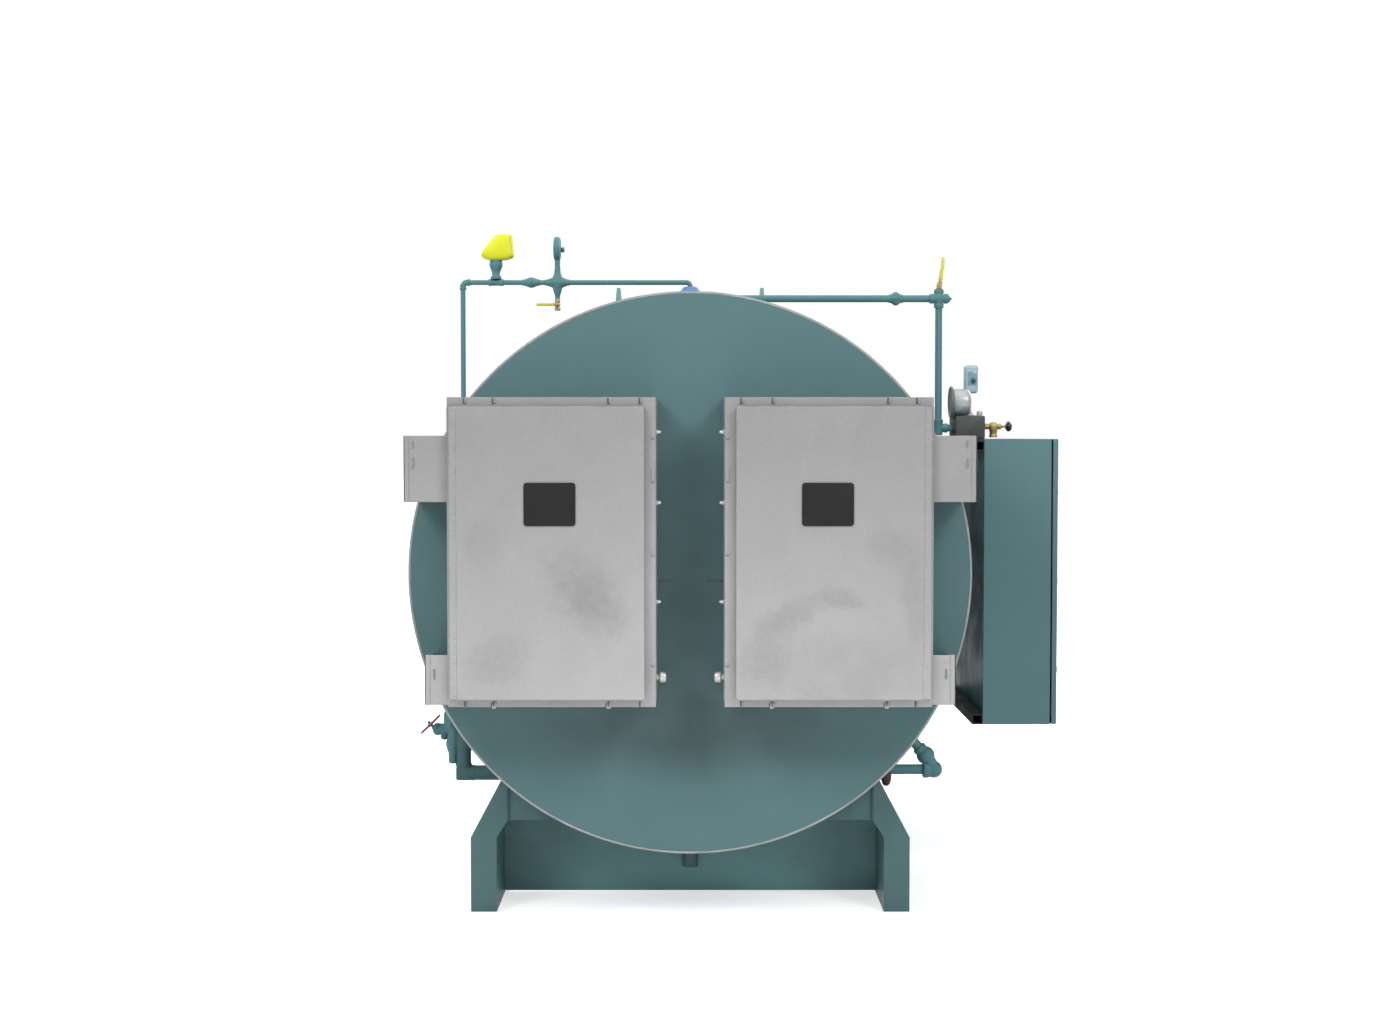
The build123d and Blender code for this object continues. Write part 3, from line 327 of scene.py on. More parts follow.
# drainTeal is a darker copy of the pipe teal: painted shade on the drain pipe and valve parts low under the vessel
drainTeal = tealCoat("drainTeal", colour=(78, 112, 115), round=0.0015, rub=0.25, dirt=0.6, dirtColour=(40, 52, 54))
couplingTeal = tealCoat("couplingTeal", colour=(84, 112, 114), cloud=0.1, round=0.002, dirt=0.5, dirtReach=0.05)
plugBrown = coated(
    "plugBrown", colour=(88, 76, 74), rough=0.62, metal=0.1, cloud=0.16, cloudSize=30, grain=600, bump=0.3,
    round=0.0015, rub=0.3, rubColour=(128, 118, 112), blotch=(72, 74, 74), blotchSize=70, dirtReach=0.03, specular=0.2)
rimSteel = coated(
    "bareRim", colour=(166, 170, 170), rough=0.5, metal=0.2, cloud=0.14, cloudSize=7, bump=0.12, specular=0.25,
    blotch=(128, 122, 114), blotchSize=9, blotchAmount=0.55)
platedSteel = coated(
    "platedSteel", colour=(186, 188, 188), rough=0.34, metal=0.55, grain=1500, bump=0.03, round=0.001, dirtReach=0.01,
    blotch=(150, 150, 148), blotchSize=180, blotchAmount=0.35)
darkPlate = coated(
    "darkPlate", colour=(43, 43, 43), rough=0.55, cloudSize=16, grain=1400, bump=0.1, round=0.0015, rub=0.3,
    rubColour=(96, 96, 96), dirt=0.2, specular=0.12)
hoodYellow = coated(
    "hoodYellow", colour=(245, 247, 46), rough=0.42, cloud=0.04, cloudSize=14, grain=1200, bump=0.02, round=0.0004,
    rub=0.2, rubColour=(242, 244, 120), dirt=0.45, dirtColour=(140, 138, 30), dirtReach=0.03, specular=0.4)
gripYellow = coated(
    "gripYellow", colour=(218, 222, 72), rough=0.5, cloud=0.06, cloudSize=40, grain=1600, round=0.0008, rub=0.3,
    rubColour=(235, 236, 150), dirt=0.4, dirtColour=(120, 110, 40), dirtReach=0.01)
agedBrass = coated(
    "agedBrass", colour=(178, 154, 100), rough=0.4, metal=0.45, cloud=0.1, cloudSize=50, grain=1500, bump=0.05,
    round=0.0008, rubColour=(226, 200, 140), blotch=(120, 92, 46), blotchSize=120, dirtReach=0.012)
blueCap = coated(
    "blueCap", colour=(98, 138, 186), rough=0.5, cloud=0.06, cloudSize=25, grain=1200, bump=0.06, round=0.002, rub=0.3,
    rubColour=(160, 188, 218), dirtReach=0.02)
bezelGrey = coated(
    "bezelGrey", colour=(112, 116, 116), rough=0.45, metal=0.2, cloud=0.1, cloudSize=30, grain=1300, bump=0.06,
    round=0.001, rub=0.5, rubColour=(176, 178, 178), dirtReach=0.015, specular=0.25)
gaugeGrey = coated(
    "gaugeGrey", colour=(176, 180, 180), rough=0.36, metal=0.3, cloud=0.08, cloudSize=30, grain=1300, bump=0.04,
    round=0.001, blotch=(128, 134, 134), blotchSize=60, blotchAmount=0.4, dirtReach=0.02)
paleBlue = coated(
    "paleBlueBox", colour=(176, 201, 211), rough=0.3, cloudSize=20, grain=1300, bump=0.04, round=0.002,
    rubColour=(222, 234, 238), dirtReach=0.03)
windowBlue = coated(
    "windowBlue", colour=(122, 166, 176), rough=0.22, cloud=0.12, cloudSize=26, grain=1300, bump=0.03, round=0.001,
    rubColour=(206, 222, 228), dirtReach=0.02, coat=0.4)
blackPlastic = coated(
    "blackPlastic", colour=(34, 35, 36), rough=0.38, cloud=0.1, cloudSize=40, grain=1400, round=0.001, rub=0.3,
    rubColour=(84, 84, 84), dirtReach=0.01)
castIron = coated(
    "castIron", colour=(76, 80, 80), rough=0.62, metal=0.15, cloud=0.16, cloudSize=24, grain=500, bump=0.35,
    round=0.002, rub=0.35, rubColour=(122, 124, 122), blotch=(98, 84, 74), blotchSize=55, blotchAmount=0.4,
    dirtReach=0.03)
wheelRed = coated(
    "wheelRed", colour=(146, 60, 58), rough=0.44, cloud=0.1, cloudSize=40, grain=900, round=0.0012, rub=0.5,
    rubColour=(150, 130, 120), dirtReach=0.015)
maroonTab = coated(
    "maroonTab", colour=(92, 88, 92), rough=0.6, cloud=0.15, cloudSize=60, grain=900, bump=0.2, round=0.001,
    dirtReach=0.02)
whitePanel = coated(
    "whitePanel", colour=(226, 228, 226), rough=0.4, cloud=0.03, grain=700, bump=0.05, rubColour=(180, 182, 182),
    dirtReach=0.05, dirtColour=(150, 150, 146))
markLook = {"rough": 0.6, "cloud": 0.12, "cloudSize": 60, "grain": 900, "dirtReach": 0.01, "specular": 0.2}
# slotGrey paints the shade of the bracket slots and creases
slotGrey = coated("slotGrey", colour=(148, 149, 149), round=0.0005, **markLook)
# clipShadowLine paints the shadow line beside each door clip
clipShadowLine = coated("clipShadowLine", colour=(104, 105, 105), round=0.0004, **markLook)
# darkGap colours the cabinet rails near black: painted shade of the gap behind the cabinet
darkGap = coated(
    "darkGap", colour=(24, 27, 27), rough=0.7, cloud=0.1, cloudSize=30, bump=0.1, rub=0.1, rubColour=(60, 64, 64))
boxSheet = galvanised("boxSheet", [((0, -1.2, 0.8), (1.0, 1, 0.3), 10, 14, 0.3)])
leftSheet = galvanised("leftDoorSheet", [
    ((-0.302, -1.27, 1.02), (0.22, 1, 0.15), -50, 28, 0.58),
    ((-0.265, -1.27, 0.965), (0.16, 1, 0.1), -48, 48, 0.42),
    ((-0.551, -1.27, 0.818), (0.16, 1, 0.12), 20, 44, 0.4),
    ((-0.594, -1.27, 1.149), (0.09, 1, 0.12), -25, 40, 0.3)])
rightSheet = galvanised("rightDoorSheet", [
    ((0.4, -1.27, 0.76), (0.42, 1, 0.2), 0, 12, 0.32),
    ((0.28, -1.27, 0.94), (0.2, 1, 0.07), 27, 34, 0.5),
    ((0.43, -1.27, 0.992), (0.11, 1, 0.05), -12, 30, 0.5),
    ((0.635, -1.27, 0.99), (0.06, 1, 0.27), 4, 40, 0.4),
    ((0.211, -1.27, 0.82), (0.13, 1, 0.11), 30, 44, 0.4),
    ((0.56, -1.27, 1.14), (0.09, 1, 0.1), 40, 40, 0.35)])
print("finishes made:", len(bpy.data.materials))

nodeFinish = {  # the nodes that no piece replaces
    coverTeal: ["front_cover"],
    tealPaint: ["shell_jacket", "rear_cover"],
    cabinetTeal: ["cabinet", "cabinet_door", "cabinet_standoffs"],
    baseTeal: ["front_left_leg", "front_right_leg", "rear_left_leg", "rear_right_leg", "rear_web", "cradle_plates"],
    webTeal: ["front_web"],
    couplingTeal: ["bottom_coupling"],
    pipeTeal: ["top_nozzle"],
    rimSteel: ["front_rim", "rear_rim"],
    boxSheet: ["left_enclosure", "right_enclosure"],
    leftSheet: ["left_door"],
    rightSheet: ["right_door"],
    platedSteel: ["left_element_heads", "right_element_heads"],
    whitePanel: ["cabinet_panel"],
    darkGap: ["cabinet_rails"],
}
for finish, names in nodeFinish.items():
    for name in names:
        mesh = bpy.data.objects[name].data
        mesh.materials.clear()
        mesh.materials.append(finish)
print("CAD nodes finished")

up, down, right, left, forward = (0, 0, 1), (0, 0, -1), (1, 0, 0), (-1, 0, 0), (0, -1, 0)
sides = (("left", -1), ("right", 1))


# mesh helpers
def standing(place, axis):
    turn = Vector(up).rotation_difference(Vector(axis)).to_matrix().to_4x4()
    return Matrix.Translation(Vector(place)) @ turn


def span(s, near, far):  # a mirrored pair, lower value first
    return sorted((s * near, s * far))


def bothEnds(half):  # a profile and its mirror image
    return half + [(radius, -along) for radius, along in reversed(half) if along]


def newPiece(name, bm, finishes, slotName, *replacing, body="root", sharp=35):
    bmesh.ops.remove_doubles(bm, verts=bm.verts, dist=0.00002)
    bmesh.ops.recalc_face_normals(bm, faces=bm.faces)
    mesh = bpy.data.meshes.new(name)
    bm.to_mesh(mesh)
    bm.free()
    for finish in finishes if isinstance(finishes, list) else [finishes]:
        mesh.materials.append(finish)
    mesh.polygons.foreach_set("use_smooth", [True] * len(mesh.polygons))
    mesh.set_sharp_from_angle(angle=math.radians(sharp))
    piece = bpy.data.objects.new(name, mesh)
    scene.collection.objects.link(piece)
    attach(piece, body)
    if replacing:
        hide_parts(*replacing)
    return piece


def paintNew(bm, older, index):  # faces that are not among the older ones take a material slot
    for face in bm.faces:
        if face not in older:
            face.material_index = index


def vertsOf(geom):
    return [g for g in geom if isinstance(g, bmesh.types.BMVert)]


def bevelled(bm, geom, offset, segments=2, affect="EDGES"):
    return bmesh.ops.bevel(bm, geom=geom, offset=offset, affect=affect, segments=segments, profile=0.5, material=-1)


def linkedEdges(verts):
    return list({e for v in verts for e in v.link_edges})


def pushed(bm, faces, vec):  # thickens faces and returns the new corners
    lifted = vertsOf(bmesh.ops.extrude_face_region(bm, geom=faces, use_keep_orig=True)["geom"])
    bmesh.ops.translate(bm, verts=lifted, vec=vec)
    return lifted


def turnedPiece(bm, profile, place, axis, steps, slotIndex=0, unit=0.001):  # radii and heights in mm, spun on an axis
    older, known = set(bm.faces), set(bm.verts)
    verts = [bm.verts.new((radius * unit, 0, along * unit)) for radius, along in profile]
    edges = [bm.edges.new(pair) for pair in zip(verts, verts[1:])]
    bmesh.ops.spin(bm, geom=verts + edges, cent=(0, 0, 0), axis=up, angle=2 * math.pi, steps=steps, use_merge=True)
    fresh = [v for v in bm.verts if v not in known]
    bmesh.ops.remove_doubles(bm, verts=fresh, dist=0.00001)
    fresh = [v for v in bm.verts if v not in known]
    bmesh.ops.transform(bm, matrix=standing(place, axis), verts=fresh)
    paintNew(bm, older, slotIndex)


def hexPiece(bm, radius, length, place, axis, edge=0.001, slotIndex=0):
    older = set(bm.faces)
    made = bmesh.ops.create_circle(bm, cap_ends=True, segments=6, radius=radius)["verts"]
    base = [f for f in bm.faces if all(v in made for v in f.verts)]
    verts = made + pushed(bm, base, (0, 0, length))
    rounded = bevelled(bm, linkedEdges(verts), edge)["faces"]
    verts = list({v for f in rounded for v in f.verts} | {v for v in verts if v.is_valid})
    bmesh.ops.transform(bm, matrix=standing(place, axis), verts=verts)
    paintNew(bm, older, slotIndex)


def blockPiece(bm, low, high, edge, segments=2, slotIndex=0):
    older = set(bm.faces)
    low, high = Vector(low), Vector(high)
    made = bmesh.ops.create_cube(bm, size=1)["verts"]
    bmesh.ops.scale(bm, vec=high - low, verts=made)
    bmesh.ops.translate(bm, vec=(low + high) / 2, verts=made)
    bevelled(bm, linkedEdges(made), edge, segments)
    paintNew(bm, older, slotIndex)


def outlinePiece(bm, outline, depth, edge, segments=2, slotIndex=0):  # outline points, then a push along depth
    older = set(bm.faces)
    verts = [bm.verts.new(point) for point in outline]
    lifted = pushed(bm, [bm.faces.new(verts)], depth)
    bevelled(bm, linkedEdges(verts + lifted), edge, segments)
    paintNew(bm, older, slotIndex)


def pipeRun(bm, points, radius, bendRadius, around=20, bendSteps=7):
    stops = [Vector(p) for p in points]
    start = standing(stops[0], (stops[1] - stops[0]).normalized())
    ring = bmesh.ops.create_circle(bm, cap_ends=True, segments=around, radius=radius, matrix=start)["verts"]
    ringEdges = linkedEdges(ring)
    here = stops[0]
    for index in range(1, len(stops)):
        heading = (stops[index] - stops[index - 1]).normalized()
        target = stops[index]
        turning = index < len(stops) - 1
        if turning:
            onward = (stops[index + 1] - stops[index]).normalized()
            angle = heading.angle(onward)
            target = stops[index] - heading * bendRadius * math.tan(angle / 2)
        ring = vertsOf(bmesh.ops.extrude_edge_only(bm, edges=ringEdges)["geom"])
        bmesh.ops.translate(bm, verts=ring, vec=target - here)
        ringEdges = [e for e in linkedEdges(ring) if all(v in ring for v in e.verts)]
        here = target
        if turning:
            inward = (onward - heading * heading.dot(onward)).normalized()
            last = bmesh.ops.spin(bm, geom=ring + ringEdges, cent=here + inward * bendRadius, angle=angle,
                                  axis=heading.cross(onward).normalized(), steps=bendSteps,
                                  use_duplicate=False)["geom_last"]
            ring = vertsOf(last)
            ringEdges = [g for g in last if isinstance(g, bmesh.types.BMEdge)]
            here = stops[index] + onward * bendRadius * math.tan(angle / 2)
    bmesh.ops.edgeloop_fill(bm, edges=ringEdges)


# dark plates on the doors
plateSize = {"left": (-0.4713, -0.3247), "right": (0.316, 0.4626), "z": (1.1985, 1.321), "thick": 0.004,
             "corner": 0.009, "edge": 0.0012}
for side in ("left", "right"):
    bm = bmesh.new()
    (xLow, xHigh), (zLow, zHigh) = plateSize[side], plateSize["z"]
    made = bmesh.ops.create_grid(bm, x_segments=1, y_segments=1, size=0.5)["verts"]
    bmesh.ops.scale(bm, vec=(xHigh - xLow, zHigh - zLow, 1), verts=made)
    bevelled(bm, list(bm.verts), plateSize["corner"], 5, "VERTICES")
    lifted = pushed(bm, list(bm.faces), (0, 0, plateSize["thick"]))
    bevelled(bm, [e for e in bm.edges if all(v in lifted for v in e.verts)], plateSize["edge"])
    middle = Vector(((xLow + xHigh) / 2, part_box(side + "_door")[0][1], (zLow + zHigh) / 2))
    upright = Matrix.Rotation(math.radians(90), 4, "X")
    bmesh.ops.transform(bm, matrix=Matrix.Translation(middle) @ upright, verts=bm.verts)
    newPiece(side + "DoorPlate", bm, darkPlate, "black_plastic", body=side + "_door")

# leaf and rivet row along each hinge
rivetRow = {"leaf": (0.6625, 0.683), "proud": 0.0012, "sunk": 0.0004, "inset": 0.002, "x": 0.6705, "bottom": 0.716,
            "pitch": 0.0235, "count": 35, "radius": 0.0024, "rise": 0.001, "flat": 0.6}
for side, s in sides:
    bm = bmesh.new()
    doorLow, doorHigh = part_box(side + "_door")
    near, far = span(s, *rivetRow["leaf"])
    blockPiece(bm, (near, doorLow[1] - rivetRow["proud"], doorLow[2] + rivetRow["inset"]),
               (far, doorLow[1] + rivetRow["sunk"], doorHigh[2] - rivetRow["inset"]), 0.0005, 1)
    for index in range(rivetRow["count"]):
        height = rivetRow["bottom"] + index * rivetRow["pitch"]
        where = Matrix.Translation((s * rivetRow["x"], doorLow[1] - rivetRow["rise"], height))
        bmesh.ops.create_icosphere(bm, subdivisions=1, radius=rivetRow["radius"],
                                   matrix=where @ Matrix.Diagonal((1, rivetRow["flat"], 1, 1)))
    newPiece(side + "HingeLeaf", bm, leftSheet if s < 0 else rightSheet, "galvanised_sheet", body=side + "_door")
print("doors dressed")

# blue cap over the top nozzle
capProfile = [(0, 22), (12, 22.5), (21, 21), (25.5, 17), (29, 11), (33.5, 8), (35.5, 5), (36.2, 0), (0, 0)]
bm = bmesh.new()
nozzleLow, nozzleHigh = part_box("top_nozzle")
pipeY = (nozzleLow[1] + nozzleHigh[1]) / 2
turnedPiece(bm, capProfile, (0, pipeY, nozzleHigh[2]), up, 32)
newPiece("nozzleCapDome", bm, blueCap, "blue_plastic", "nozzle_cap")

# lifting lugs, narrowed towards the top
lugHead = {"x": 0.248, "from": 1.87, "narrow": 0.55}
bm = bmesh.new()
bm.from_mesh(bpy.data.objects["lifting_lugs"].data)
bmesh.ops.remove_doubles(bm, verts=bm.verts, dist=0.00005)
lugTop = max(v.co.z for v in bm.verts)
for v in bm.verts:
    rise = min(max((v.co.z - lugHead["from"]) / (lugTop - lugHead["from"]), 0), 1)
    middle = Matrix.Translation((math.copysign(lugHead["x"], -v.co.x), 0, 0))
    bmesh.ops.scale(bm, vec=(1 - lugHead["narrow"] * rise, 1, 1), space=middle, verts=[v])
newPiece("liftingLugPlates", bm, lugTeal, "teal_paint", "lifting_lugs")

# cast elbow with banded sockets, for the small pipe
elbow = {"radius": 0.0098, "bend": 0.0135, "leg": 0.024, "band": 0.0113, "around": 22}


def socketElbow(bm, corner, before, after):
    corner, before, after = Vector(corner), Vector(before), Vector(after)
    radius, band = elbow["radius"], elbow["band"]
    ends = [corner - before * elbow["leg"], corner + after * elbow["leg"]]
    pipeRun(bm, [ends[0], corner, ends[1]], radius, elbow["bend"], elbow["around"])
    for end, inward in zip(ends, (before, -after)):
        turnedPiece(bm, [(radius * 0.7, 0), (band, 0.001), (band, 0.006), (radius, 0.008)], end, inward, 24, unit=1)


# small pipe over the left shoulder
leftRun = {"height": 1.957, "dropX": -0.7478, "dropEnd": 1.488, "shellX": -0.7018, "capZ": 1.937, "radius": 0.0081,
           "bend": 0.0125, "vent": -0.6388, "union": -0.5238, "cross": -0.4368}
bm = bmesh.new()
runZ = leftRun["height"]
dropTop, dropFoot = (leftRun["dropX"], pipeY, runZ), (leftRun["dropX"], pipeY, leftRun["dropEnd"])
ventX, crossX = leftRun["vent"], leftRun["cross"]
crossMid = (crossX, pipeY, runZ)
pipeRun(bm, [(0, pipeY, leftRun["capZ"]), (0, pipeY, runZ), dropTop, dropFoot,
             (leftRun["shellX"] - 0.001, pipeY, leftRun["dropEnd"])], leftRun["radius"], leftRun["bend"])
socketElbow(bm, dropTop, left, down)
socketElbow(bm, dropFoot, down, right)
turnedPiece(bm, [
    (6, -30), (9.5, -29), (11.5, -18), (15.5, -8), (17.2, -2), (17.2, 4), (14.5, 12), (11.2, 20), (9.5, 29), (6, 30)],
    (leftRun["union"], pipeY, runZ), right, 18)
turnedPiece(bm, [
    (6, -25), (11, -24), (11.5, -16), (10.2, -13), (10.5, 13), (11.5, 16), (11, 24), (6, 25)],
    (ventX, pipeY, runZ), right, 24)
spindle = bothEnds([(6, -41.5), (9.5, -41), (10.2, -33), (14.2, -22.5), (18.5, -12.5), (20.5, 0)])
for axis in (right, up):
    turnedPiece(bm, spindle, crossMid, axis, 28)
turnedPiece(bm, [
    (6, 0), (14, 0), (14, 4), (11.5, 6), (11.5, 12), (6, 13)],
    (leftRun["shellX"] - 0.0015, pipeY, leftRun["dropEnd"]), left, 24)
newPiece("leftPipeRun", bm, pipeTeal, "teal_paint", "left_line")

# vent valve with its waist, and the yellow hood
ventProfile = [
    (0, 0), (16.5, 0), (17.8, 2), (17.8, 7), (15.2, 11), (13.2, 16), (12.8, 21), (14.5, 27), (17.8, 34), (20.8, 41),
    (21.8, 47), (21.2, 54), (20, 59), (19.5, 66), (0, 66)]
bm = bmesh.new()
turnedPiece(bm, ventProfile, (ventX, pipeY, runZ + 0.0105), up, 28)
hexPiece(bm, 0.0178, 0.005, (ventX, pipeY, runZ + 0.0125), up, 0.0012)
newPiece("ventBody", bm, pipeTeal, "teal_paint", "vent_valve")

# side view of the hood, and its depth as half of the rings (shift in y, share of the side view)
hoodShape = {"points": [(0.0053, 2.1155), (0.0529, 2.1145), (0.0555, 2.081), (0.0605, 2.0396), (0.0347, 2.0297),
                        (-0.0175, 2.0278), (-0.0403, 2.035), (-0.0499, 2.0458), (-0.0403, 2.065), (-0.0076, 2.1038)],
             "half": [(-0.033, 0.04), (-0.0325, 0.3), (-0.0308, 0.58), (-0.0275, 0.8), (-0.021, 0.94), (-0.011, 0.99)],
             "corner": 0.0068, "middle": (0.008, 2.068)}
bm = bmesh.new()
bm.faces.new([bm.verts.new((ventX + x, pipeY, z)) for x, z in hoodShape["points"]])
bevelled(bm, list(bm.verts), hoodShape["corner"], 3, "VERTICES")
centring = Matrix.Translation((-ventX - hoodShape["middle"][0], -pipeY, -hoodShape["middle"][1]))
rings = hoodShape["half"] + [(0, 1)] + [(-shift, scale) for shift, scale in reversed(hoodShape["half"])]
lastShift, lastScale = rings[0]
bmesh.ops.scale(bm, vec=(lastScale, 1, lastScale), space=centring, verts=bm.verts)
bmesh.ops.translate(bm, vec=(0, lastShift, 0), verts=bm.verts)
front = list(bm.faces)
for index, (shift, scale) in enumerate(rings[1:]):
    raised = bmesh.ops.extrude_face_region(bm, geom=front, use_keep_orig=index == 0)["geom"]
    loop = vertsOf(raised)
    front = [g for g in raised if isinstance(g, bmesh.types.BMFace)]
    bmesh.ops.scale(bm, vec=(scale / lastScale, 1, scale / lastScale), space=centring, verts=loop)
    bmesh.ops.translate(bm, vec=(0, shift - lastShift, 0), verts=loop)
    lastShift, lastScale = shift, scale
hood = newPiece("ventHoodShell", bm, hoodYellow, "yellow_plastic", "vent_hood", sharp=180)
rounder = hood.modifiers.new("rounder", "SUBSURF")
rounder.levels = rounder.render_levels = 1

# dial gauge that stands on the cross, edge on to the front
dialZ = 2.068
bm = bmesh.new()
turnedPiece(bm, [
    (0, -11.2), (30, -11), (33.5, -11.5), (36.5, -9.5), (38.2, -5), (38.2, 2), (36.2, 7.5), (30, 10.8), (18, 11.8),
    (0, 12)], (crossX, pipeY, dialZ), right, 40)
turnedPiece(bm, [(0, 30), (11.2, 30), (9.8, 42), (8.8, 54), (8.8, 68), (9.8, 84), (0, 84)], crossMid, up, 20)
turnedPiece(bm, [
    (0, 8), (6, 8), (6.5, 13), (8.5, 14.5), (9, 19), (7.5, 23), (0, 24)], (crossX, pipeY, dialZ - 0.004), right, 18)
newPiece("pipeDialGauge", bm, pipeTeal, "teal_paint", "line_gauge")

# drain cock below the cross, with its lever
pinZ, leverY, leverThick, leverEdge = 1.884, -0.37, 0.004, 0.0008
pinProfile = [(0, 0), (3.9, 0), (3.9, 24), (3.2, 26), (0, 26)]
pinMid = (crossX, pipeY, pinZ)
bm = bmesh.new()
turnedPiece(bm, [
    (0, 0), (15.5, 0), (14.8, -10), (11.2, -22), (8.5, -30), (7.8, -42), (0, -42)],
    (crossX, pipeY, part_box("drain_cock")[1][2]), up, 22)
hexPiece(bm, 0.0098, 0.016, (crossX, pipeY, pinZ + 0.004), up, slotIndex=1)
turnedPiece(bm, [
    (0, 6), (7.8, 6), (8.6, 0), (8.6, -8), (9.8, -10.5), (9.8, -16.5), (8, -19), (0, -19)], pinMid, up, 20, 1)
turnedPiece(bm, pinProfile, pinMid, forward, 16, 1)
newPiece("drainCockBody", bm, [pipeTeal, agedBrass], "brass", "drain_cock")

leverOutline = [(0.008, 0.006), (0.0105, 0), (0.008, -0.006), (-0.014, -0.0045), (-0.068, -0.0032), (-0.068, 0.0032),
                (-0.014, 0.0045)]
bm = bmesh.new()
outlinePiece(bm, [(crossX + x, leverY, pinZ + z) for x, z in leverOutline], (0, leverThick, 0), leverEdge)
turnedPiece(bm, [
    (0, -11.5), (3.4, -12), (4.6, -16), (4.4, -62), (3.6, -67), (0, -68)],
    (crossX, leverY + leverThick / 2, pinZ), right, 14, 1)
newPiece("drainCockLever", bm, [agedBrass, gripYellow], "yellow_grip", "drain_lever", body="drain_lever")
print("left pipework made")

# larger pipe over the right shoulder
rightRun = {"height": 1.904, "dropX": 0.818, "dropEnd": 1.479, "start": 0.0285, "end": 0.8672, "radius": 0.0116,
            "bend": 0.0155, "union": 0.676}
bm = bmesh.new()
runZ, dropX, dropEnd = rightRun["height"], rightRun["dropX"], rightRun["dropEnd"]
dropTop, dropFoot = (dropX, pipeY, runZ), (dropX, pipeY, dropEnd)
pipeRun(bm, [(rightRun["start"], pipeY, runZ), dropTop, dropFoot, (rightRun["end"], pipeY, dropEnd)],
        rightRun["radius"], rightRun["bend"])
turnedPiece(bm, bothEnds([
    (9, -24), (13.5, -23), (14.5, -15), (19, -9), (22.2, -4)]), (rightRun["union"], pipeY, runZ), right, 8)
armBand = bothEnds([(10, -31), (15.2, -30.5), (16.2, -25), (16.2, -19), (15.2, -16), (18.5, -8), (19.8, 0)])
for axis in (right, up):
    turnedPiece(bm, armBand, dropTop, axis, 26)
turnedPiece(bm, [(8, 27), (12.5, 28), (12.2, 33), (7.5, 38), (1.5, 42.5), (0, 43)], dropTop, right, 6)
turnedPiece(bm, [(0, -24), (12.5, -24), (14.8, -21), (15.2, 18), (16.2, 20), (16.2, 27), (12.2, 29)], dropFoot, up, 26)
turnedPiece(bm, [(10, 8), (13.5, 12), (14.5, 20), (15.5, 22), (15.5, 29), (12, 31)], dropFoot, right, 26)
newPiece("rightPipeRun", bm, pipeTeal, "teal_paint", "right_line")

# test cock on the right cross, with its lever
testPin = 1.944
bm = bmesh.new()
turnedPiece(bm, [
    (0, 0), (10.5, 0), (10.5, 6), (8.5, 8), (8.5, 16), (7.2, 20), (6.2, 25), (0, 26)],
    (dropX, pipeY, runZ + 0.028), up, 22)
hexPiece(bm, 0.0108, 0.007, (dropX, pipeY, runZ + 0.0285), up)
turnedPiece(bm, pinProfile, (dropX, pipeY, testPin), forward, 16)
newPiece("testCockBody", bm, agedBrass, "brass", "test_cock")

leverOutline = [(-0.0065, -0.007), (0.0065, -0.007), (0.0085, 0.008), (0.0095, 0.024), (-0.0035, 0.024),
                (-0.0055, 0.008)]
gripOutline = [(-0.0035, 0.0215), (0.0095, 0.0215), (0.0115, 0.045), (0.0155, 0.065), (0.0158, 0.09), (0.0135, 0.0948),
               (0.0075, 0.0948), (0.0048, 0.09), (0.004, 0.062), (-0.0005, 0.045)]
gripOver = 0.001  # the grip is this much thicker on each face
bm = bmesh.new()
outlinePiece(bm, [(dropX + x, leverY, testPin + z) for x, z in leverOutline], (0, leverThick, 0), leverEdge)
outlinePiece(bm, [(dropX + x, leverY - gripOver, testPin + z) for x, z in gripOutline],
             (0, leverThick + 2 * gripOver, 0), 0.0014, 3, 1)
newPiece("testCockLever", bm, [agedBrass, gripYellow], "yellow_grip", "test_lever", body="test_lever")

# gauge block, gauge, switch and petcock on the cabinet top
block = {"low": (0.8705, -0.395, 1.443), "high": (0.9665, -0.232, 1.519), "nuts": ((0.8945, pipeY), (0.925, -0.255)),
         "nutZ": 1.5175}
bm = bmesh.new()
blockPiece(bm, block["low"], block["high"], 0.005, 3)
for x, y in block["nuts"]:
    hexPiece(bm, 0.016, 0.006, (x, y, block["nutZ"]), up, 0.0012)
turnedPiece(bm, [(11.8, -8), (17.8, -7.8), (18.5, -5), (18.5, 1)], (block["low"][0], pipeY, dropEnd), right, 26)
newPiece("gaugeBlock", bm, castIron, "dark_iron", "gauge_manifold")

# gauge case on a cast foot with a hollow curve
gauge = {"dialX": 0.856, "z": 1.563, "stemX": 0.891, "stemZ": 1.518, "capX": 0.9545, "footZ": 1.5185, "footTop": 1.566,
         "footX": (0.893, 0.9455, 0.923), "curve": (0.944, 1.5455, 0.021, 0.0255), "footDeep": 0.028}
bm = bmesh.new()
turnedPiece(bm, [(0, 0), (12, 0), (12, 6), (9, 8), (9, 12), (0, 12)], (gauge["stemX"], pipeY, gauge["stemZ"]), up, 20)
turnedPiece(bm, [
    (0, 0), (9.8, 0), (9.8, 11), (8.2, 15.5), (4, 17.2), (0, 17.5)], (gauge["capX"], pipeY, gauge["footZ"]), up, 18)
curveX, curveZ, curveWide, curveTall = gauge["curve"]
footCurve = [(curveX - curveWide * math.sin(math.radians(a)), curveZ - curveTall * math.cos(math.radians(a)))
             for a in range(0, 91, 15)]
footLeft, footRight, neckX = gauge["footX"]
footOutline = [(footLeft, gauge["footZ"]), (footRight, gauge["footZ"])] + footCurve
footOutline += [(neckX, gauge["footTop"]), (footLeft, gauge["footTop"])]
outlinePiece(bm, [(x, pipeY - gauge["footDeep"] / 2, z) for x, z in footOutline], (0, gauge["footDeep"], 0), 0.0015)
dialMid = (gauge["dialX"], pipeY, gauge["z"])
